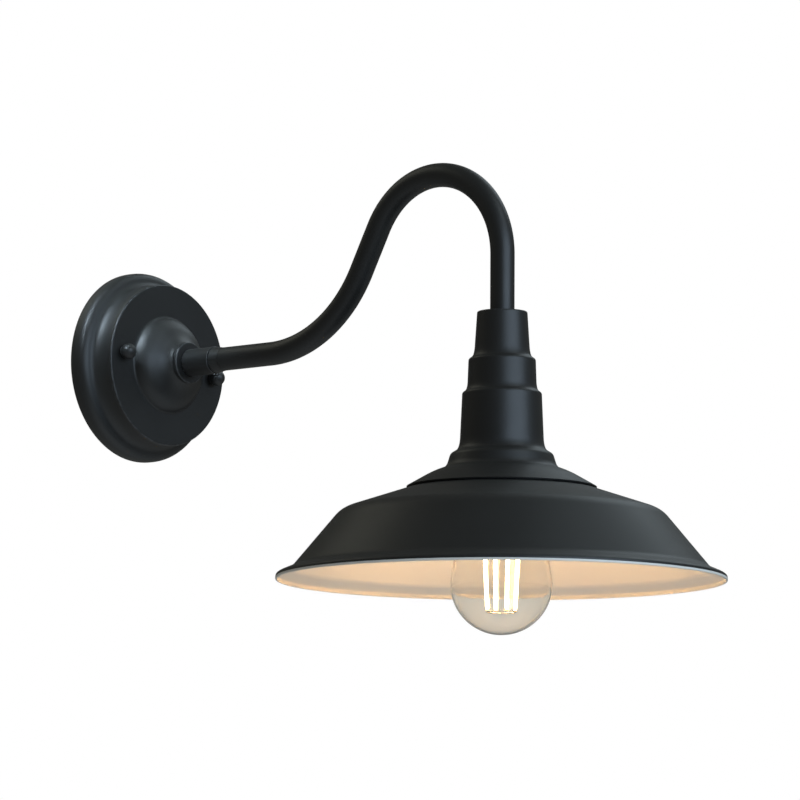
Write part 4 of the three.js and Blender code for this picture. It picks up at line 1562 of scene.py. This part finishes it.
@dataclass
class Lampholder:
    """The porcelain holder, its threaded brass shell, its terminals and its centre contact."""

    layout: Layout
    radius: float = 19.6
    cap_top: float = -43.0
    split: float = -55.7
    floor: float = -64.0
    ceiling: float = -68.0
    end: float = -98.0
    bore: float = 14.3
    shell_radius: float = 13.95
    shell_wall: float = 0.45
    flange_radius: float = 23.2
    flange_span: tuple[float, float] = (-88.4, -85.2)
    ring_thread: tuple[float, float] = (-96.6, -89.6)
    ring_pitch: float = 2.4

    def body(self) -> Surface:
        """The holder's body, with a flange that the shade hangs on and a thread for the ring below it.

        Returns:
            The body's surface.
        """
        under, over = self.flange_span
        split = self.split - self.layout.gap
        corners = [
            (0.0, self.floor), (self.radius - 2.0, self.floor, 0.6), (self.radius - 2.0, split, 0.3),
            (self.radius, split, 0.4), (self.radius, over, 0.4), (self.flange_radius, over, 0.6),
            (self.flange_radius, under, 0.6), (self.radius, under, 0.2), (self.radius, self.end, 0.8),
            (self.bore, self.end, 0.8), (self.bore, self.ceiling, 0.6), (0.0, self.ceiling),
        ]
        low, high = self.ring_thread
        dense = dense_between(open_section(corners, 5), self.radius - 0.01, low, high)
        ridged = (np.abs(dense[:, 0] - self.radius) < 0.01) & (dense[:, 1] > low) & (dense[:, 1] < high)
        return self.layout.shade.threaded(dense, self.ring_pitch, 0.5, ridged, 96, closed=False)

    def shell(self) -> Surface:
        """The brass shell: a thread pressed into thin sheet, open below, with a holed end above.

        Returns:
            The shell's surface.
        """
        top, low = self.ceiling - 0.4, self.end + 2.1
        rows = 80
        height = np.linspace(low, top - 1.6, rows)
        outer = np.stack([np.full(rows, self.shell_radius), height], axis=1)
        end = [[self.shell_radius - 0.5, top - 0.5], [self.shell_radius - 1.6, top], [7.0, top]]
        wall = self.shell_wall
        inner_end = [[7.0, top - wall], [self.shell_radius - 1.8, top - wall], [12.6, top - 0.9]]
        inner = np.stack([np.full(rows, self.shell_radius - wall), height[::-1]], axis=1)
        section = np.concatenate([outer, np.array(end), np.array(inner_end), inner])
        fade = np.clip((top - 1.0 - height) / 2.0, 0.0, 1.0)
        ridged = np.concatenate([fade, np.zeros(6), fade[::-1]])
        return self.layout.shade.threaded(section, THREAD_PITCH, THREAD_DEPTH, ridged, 72)

    def build(self, shop: Workshop) -> None:
        """Builds the holder and its metal parts.

        Args:
            shop: What makes and dresses the pieces.
        """
        axis, layout = self.layout.shade, self.layout
        corners = [
            (layout.hole, self.cap_top), (self.radius, self.cap_top, 4.2), (self.radius, self.split),
        ]
        cap = axis.turned(walled(open_section(corners, 14), 2.0), 128)
        shop.build("holder_cap", cap, GLAZED_PORCELAIN, "lampholder_cap")
        nut = layout.nut(axis, self.cap_top + layout.gap)
        shop.build("holder_hex_nut", nut, BRASS, "holder_locknut", sharp=25.0)
        shop.build("holder_body", self.body(), GLAZED_PORCELAIN, "lampholder_body")
        shop.build("threaded_shell", self.shell(), BRASS, "screw_shell", sharp=50.0)
        (_, _, low), (_, _, high) = span("centre_contact")
        corners = [(0.0, low), (3.95, low, 0.3), (3.95, high, 0.3), (0.0, high)]
        tongue = axis.turned(open_section(corners, 5), 40, closed=False)
        shop.build("contact_tongue", tongue, BRASS, "centre_contact", body=Body.TONGUE)
        for word in ("live", "neutral"):
            node = f"{word}_holder_terminal"
            shop.copy_of(f"{word}_post", node, 0.35, BRASS)


def dense_between(section: np.ndarray, radius: float, low: float, high: float) -> np.ndarray:
    """Adds points to a section's straight side between two heights, close enough to carry a thread.

    Args:
        section: Radius and height of each point, in a chain that goes down its outer side.
        radius: The side's radius.
        low: Lowest new point.
        high: Highest new point.

    Returns:
        The section with its new points.
    """
    on_side = section[:, 0] > radius
    above = np.flatnonzero(on_side & (section[:, 1] >= high) & (section[:, 1] < high + 3.0))
    place = above[-1] + 1
    height = np.linspace(high, low, 30)
    side = np.stack([np.full(30, radius + 0.01), height], axis=1)
    return np.concatenate([section[:place], side, section[place:]])


@dataclass
class Bulb:
    """The screw bulb: threaded cap, contact, glass, stem and four glowing filaments."""

    layout: Layout
    cap_radius: float = 13.1
    cap_wall: float = 0.35
    open_end: float = -97.0
    shoulder: float = -76.0
    contact: float = -72.0
    globe_radius: float = 29.4
    globe_centre: float = -148.3
    glass_wall: float = 0.7
    filament_top: float = -126.5
    filament_end: float = -163.5
    filament_spread: float = 10.5
    filament_foot: float = 8.5
    filament_radius: float = 1.1
    filament_turns: tuple[float, ...] = (-28.0, 62.0, 152.0, 242.0)

    def cap(self) -> Surface:
        """The cap: the same pressed thread as the holder's shell, a smooth skirt and a shoulder.

        Returns:
            The cap's surface.
        """
        rows = 84
        top = self.shoulder - 1.8
        height = np.linspace(self.open_end, top, rows)
        outer = np.stack([np.full(rows, self.cap_radius), height], axis=1)
        end = [
            [self.cap_radius - 1.0, self.shoulder - 0.9], [self.cap_radius - 2.0, self.shoulder - 0.2],
            [self.cap_radius - 3.8, self.shoulder],
        ]
        outer_part = np.concatenate([outer, np.array(end)])
        inner_part = moved_right(outer_part, -self.cap_wall)[::-1]
        section = np.concatenate([outer_part, inner_part])
        fade = np.clip((height - self.open_end - 1.5) / 2.0, 0.0, 1.0)
        fade *= np.clip((top - height) / 1.5, 0.0, 1.0)
        ridged = np.concatenate([fade, np.zeros(6), fade[::-1]])
        return self.layout.shade.threaded(section, THREAD_PITCH, THREAD_DEPTH, ridged, 96)

    def envelope(self) -> Surface:
        """The glass: a neck that swells through an easy S into the globe, R cos a and centre + R sin a.

        Returns:
            The glass's surface.
        """
        low = self.open_end - self.layout.gap
        corners = [
            (13.6, low), (14.3, low - 7.0, 4.0), (24.2, low - 27.5, 9.0),
            (self.globe_radius, self.globe_centre + 9.0),
        ]
        neck = open_section(corners, 16)[:-1]
        angle = np.linspace(0.12, -math.pi / 2, 56)
        globe = np.stack([np.cos(angle), np.sin(angle)], axis=1) * self.globe_radius
        outer = np.concatenate([neck, globe + [0.0, self.globe_centre]])
        outer[-1, 0] = 0.0
        inner = moved_right(outer, self.glass_wall)
        inner[-1] = [0.0, outer[-1, 1] + self.glass_wall]
        section = np.concatenate([outer[::-1], inner])
        return self.layout.shade.turned(section, 144, closed=False)

    def stem(self) -> Surface:
        """The flared glass stem that carries the support wires.

        Returns:
            The stem's surface.
        """
        top = self.open_end
        corners = [
            (0.0, top), (11.4, top, 0.3), (11.2, top - 1.6, 0.6, 1.0), (4.2, top - 4.6, 3.0, 3.0),
            (2.5, -119.5, 4.0, 0.6), (3.4, -121.6, 0.7), (3.2, -124.6, 0.8), (0.0, -124.9),
        ]
        return self.layout.shade.turned(open_section(corners, 8), 48, closed=False)

    def spoke(
        self, turn: float, inner: tuple[float, float], outer: tuple[float, float], radius: float
    ) -> Surface:
        """A straight wire in the plane at one turn about the bulb's axis.

        Args:
            turn: The turn, in degrees.
            inner: Radius and height of its first end.
            outer: Radius and height of its second end.
            radius: The wire's radius.

        Returns:
            The wire.
        """
        angle = math.radians(turn)
        ends = [(r * math.cos(angle), r * math.sin(angle), z) for r, z in (inner, outer)]
        first, last = (self.layout.shade.point(*end) for end in ends)
        line = first + np.linspace(0.0, 1.0, 24)[:, None] * (last - first)
        across = np.array([-math.sin(angle), math.cos(angle), 0.0])
        return tube_along(line, across, radius, 0.0, 16)

    def filament(self, turn: float) -> Surface:
        """One phosphor strip, which leans in towards the bulb's end."""
        top, foot = (self.filament_spread, self.filament_top), (self.filament_foot, self.filament_end)
        return self.spoke(turn, top, foot, self.filament_radius)

    def build(self, shop: Workshop) -> None:
        """Builds the bulb's pieces.

        Args:
            shop: What makes and dresses the pieces.
        """
        axis = self.layout.shade
        ride = {"body": Body.BULB}
        shop.build("bulb_screw_cap", self.cap(), NICKEL, "bulb_cap", sharp=50.0, **ride)
        corners = [
            (0.0, self.shoulder - 0.5), (8.8, self.shoulder - 0.5, 0.2),
            (8.8, self.shoulder + 0.3, 0.2), (5.2, self.contact - 1.0, 0.8), (0.0, self.contact - 1.0),
        ]
        glass = axis.turned(open_section(corners, 6), 60, closed=False)
        shop.build("vitrite_ring", glass, VITRITE, "bulb_insulator", **ride)
        corners = [
            (0.0, self.contact - 0.7), (4.35, self.contact - 0.7, 0.15),
            (4.2, self.contact - 0.2, 0.25), (2.2, self.contact, 0.9), (0.0, self.contact),
        ]
        button = axis.turned(open_section(corners, 6), 48, closed=False)
        shop.build("contact_button", button, NICKEL, "bulb_contact", body=Body.BULB_LIFT)
        envelope = self.envelope()
        shop.build("bulb_envelope", envelope, BULB_GLASS, "bulb_glass", sharp=70.0, **ride)
        shop.build("glass_stem", self.stem(), STEM_GLASS, "bulb_stem", sharp=60.0, **ride)
        hub = self.filament_top + 3.0
        spider = [axis.turned(ring_section(3.75, 4.5, hub - 0.6, hub + 0.6, 0.2), 40)]
        for turn in self.filament_turns:
            tip = (self.filament_spread, self.filament_top + 1.0)
            spider.append(self.spoke(turn, (4.1, hub), tip, 0.4))
        shop.build("support_spider", spider, NICKEL, "filament_support", **ride)
        for number, turn in enumerate(self.filament_turns, start=1):
            name, node = f"phosphor_strip_{number}", f"filament_{number}"
            strip = self.filament(turn)
            shop.build(name, strip, PHOSPHOR, node, sharp=60.0, **ride)
        foot = self.filament_end - 0.95
        radius = self.filament_foot
        wire = axis.turned(ring_section(radius - 0.5, radius + 0.5, foot - 0.45, foot + 0.45, 0.3), 72)
        shop.build("foot_wire_ring", wire, NICKEL, "filament_foot_ring", **ride)


@dataclass
class Leads:
    """The three insulated leads, from the terminal block to the lampholder and the earth screw."""

    layout: Layout
    arm: Arm
    radius: float = 1.1
    side: float = 1.6
    pole: float = 10.0
    post: float = 9.0
    block_out: float = 8.6
    block_edge: float = 8.0

    def mains(self, side: int) -> np.ndarray:
        """The line of the live or the neutral lead.

        Args:
            side: -1 for live, on the left, or 1 for neutral.

        Returns:
            Points in millimetres.
        """
        x, pole, out, edge = side * self.side, side * self.pole, self.block_out, self.block_edge
        reach = self.layout.shade.origin[1]
        start = [
            [pole, -out, edge - 3.0], [pole, -out, edge + 2.0], [pole * 0.9, -out - 4.0, edge + 6.0],
            [pole * 0.5, -out - 13.0, edge + 3.0], [x, -out - 21.0, 2.0], [x, -out - 27.0, 0.0],
            [x, -out - 42.0, 0.0],
        ]
        inside = self.arm.line(end=9.6)[::9]
        inside[:, 0] = x
        end = [
            [x, reach, -23.0], [x, reach, -46.0], [x * 1.6, reach, -51.0],
            [side * (self.post - 1.5), reach, -55.0], [side * self.post, reach, -58.0],
            [side * self.post, reach, -59.4],
        ]
        return smooth_line(np.concatenate([np.array(start), inside, np.array(end)]), 6)

    def earth(self) -> np.ndarray:
        """The line of the earth lead.

        Returns:
            Points in millimetres.
        """
        out, edge = self.block_out, self.block_edge
        points = [[0.0, -out, edge - 3.0], [0.0, -out, edge + 1.0], [1.0, -out - 1.0, edge + 5.0]]
        return smooth_line(np.array([*points, [2.0, -out + 0.6, 18.0]]), 10)

    def build(self, shop: Workshop) -> None:
        """Builds the three leads.

        Args:
            shop: What makes and dresses the pieces.
        """
        leads = (("live", -1, BROWN_PVC), ("neutral", 1, BLUE_PVC))
        across = np.array([1.0, 0.0, 0.0])
        for word, side, finish in leads:
            wire = tube_along(self.mains(side), across, self.radius, 0.0, 20)
            shop.build(f"{word}_wire", wire, finish, f"{word}_lead", sharp=60.0)
        wire = tube_along(self.earth(), across, self.radius, 0.0, 20)
        shop.build("earth_wire", wire, EARTH_PVC, "earth_lead", sharp=60.0)


# ---------------------------------------------------------------- studio


@dataclass(frozen=True)
class Softbox:
    """A large soft light, placed by its bearing from the light's middle and its height angle."""

    name: str
    bearing: float
    elevation: float
    distance: float
    width: float
    height: float
    power: float
    colour: Colour = (1.0, 1.0, 1.0)
    spread: float = 180.0
    towards_wall: float = 0.0

    def build(self, target: Vector) -> None:
        """Adds the light, facing the target or a point nearer the wall.

        Bearing 0 is towards -Y and 90 is towards +X.

        Args:
            target: The middle of the light.
        """
        target = target + Vector((0.0, self.towards_wall, 0.2 * self.towards_wall))
        turn, rise = math.radians(self.bearing), math.radians(self.elevation)
        way = Vector((math.sin(turn) * math.cos(rise), -math.cos(turn) * math.cos(rise), math.sin(rise)))
        data = bpy.data.lights.new(self.name, "AREA")
        data.shape = "RECTANGLE"
        data.size, data.size_y = self.width, self.height
        data.energy = self.power
        data.color = self.colour
        data.spread = math.radians(self.spread)
        lamp = placed(self.name, data)
        lamp.location = target + way * self.distance
        lamp.rotation_euler = way.to_track_quat("Z", "Y").to_euler()
        lamp.visible_camera = False


@dataclass
class Studio:
    """The camera, the softboxes, the light in the bulb, the floor and the surround."""

    layout: Layout
    azimuth: float = -48.124
    elevation: float = -6.894
    roll: float = 0.316
    place: tuple[float, float, float] = (-2.549852, -2.504910, -0.449820)
    lens: float = 264.98
    floor_height: float = -1.6
    softboxes: tuple[Softbox, ...] = (
        Softbox("front_softbox", -6.0, 13.0, 2.2, 2.4, 0.8, 33.0, (0.64, 0.81, 1.0)),
        Softbox("right_softbox", 95.0, 42.0, 2.0, 1.1, 1.0, 6.0, (0.78, 0.92, 1.0)),
        Softbox("high_softbox", 10.0, 50.0, 2.0, 0.7, 0.7, 4.0, (0.80, 0.93, 1.0)),
        Softbox("left_softbox", -165.0, 40.0, 2.2, 1.2, 0.9, 3.0, (1.0, 1.0, 0.84)),
        Softbox("low_softbox", -20.0, -72.0, 1.1, 1.6, 1.6, 1.6, (0.90, 0.95, 1.0)),
        Softbox("plate_softbox", -86.0, 48.0, 0.34, 0.08, 0.08, 0.034, (0.70, 0.86, 1.0), 20.0, 0.18),
    )

    def camera(self) -> None:
        """Adds the camera and makes it the scene's."""
        a, e, r = (math.radians(angle) for angle in (self.azimuth, self.elevation, self.roll))
        back = Vector((math.sin(a) * math.cos(e), -math.cos(a) * math.cos(e), math.sin(e)))
        right = Vector((math.cos(a), math.sin(a), 0.0))
        up = back.cross(right)
        side = math.cos(r) * right + math.sin(r) * up
        top = -math.sin(r) * right + math.cos(r) * up
        data = bpy.data.cameras.new("camera")
        data.lens = self.lens
        data.clip_end = 100.0
        lens = placed("camera", data)
        lens.matrix_world = Matrix.Translation(self.place) @ Matrix((side, top, back)).transposed().to_4x4()
        bpy.context.scene.camera = lens

    def surround(self) -> None:
        """White behind the light, warm grey through the glass, and a dim room for everything else."""
        world = bpy.data.worlds.new("surround")
        bpy.context.scene.world = world
        world.use_nodes = True
        graph = Graph(world.node_tree)
        path = graph.add("LightPath")
        room = graph.blend(path.outputs["Is Transmission Ray"], (0.125, 0.124, 0.112), (0.64, 0.60, 0.52))
        colour = graph.blend(path.outputs["Is Camera Ray"], room, (1.0, 1.0, 1.0))
        sky = graph.add("Background", {"Color": colour, "Strength": 1.0})
        graph.add("OutputWorld", {"Surface": sky.outputs[0]})

    def floor(self, effects: Effects) -> None:
        """A plain pale floor, well below the light.

        Args:
            effects: The shared shader groups.
        """
        half = 6.0
        corners = [(-half, -half), (half, -half), (half, half), (-half, half)]
        mesh = bpy.data.meshes.new("floor")
        mesh.from_pydata([(x, y, self.floor_height) for x, y in corners], [], [(0, 1, 2, 3)])
        mesh.materials.append(PaleFloor("pale_floor").material(effects))
        placed("floor", mesh)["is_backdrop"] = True

    def bulb_light(self) -> None:
        """A warm light in the middle of the filaments, which itself isn't seen."""
        data = bpy.data.lights.new("bulb_light", "POINT")
        data.energy = 0.34
        data.color = (1.0, 0.54, 0.23)
        data.shadow_soft_size = 0.012
        lamp = placed("bulb_light", data)
        lamp.location = Vector(self.layout.shade.point(0.0, 0.0, -145.0)) * MM
        lamp.visible_camera = False
        lamp.visible_glossy = False
        lamp.visible_transmission = False
        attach(lamp, Body.BULB.value)

    def build(self, effects: Effects, target: Vector) -> None:
        """Builds the studio round the light.

        Args:
            effects: The shared shader groups.
            target: What the softboxes face.
        """
        bpy.context.scene.view_settings.view_transform = "Standard"
        self.camera()
        self.surround()
        self.floor(effects)
        self.bulb_light()
        for softbox in self.softboxes:
            softbox.build(target)


def main() -> None:
    """Builds every sub-assembly around the frame, then the studio."""
    logging.basicConfig(level=logging.INFO, format="%(name)s: %(message)s")
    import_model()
    cad_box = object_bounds()
    layout = Layout.from_frame()
    shop = Workshop(Effects())
    arm = Arm(layout)
    parts = (
        WallPlate(layout),
        WallFixings(layout),
        arm,
        Neck(layout),
        Shade(layout),
        Lampholder(layout),
        Bulb(layout),
        Leads(layout, arm),
    )
    for part in parts:
        part.build(shop)
    Studio(layout).build(shop.effects, (cad_box[0] + cad_box[1]) / 2)
    LOG.info("%d pieces", shop.count)


if __name__ == "__main__":
    main()
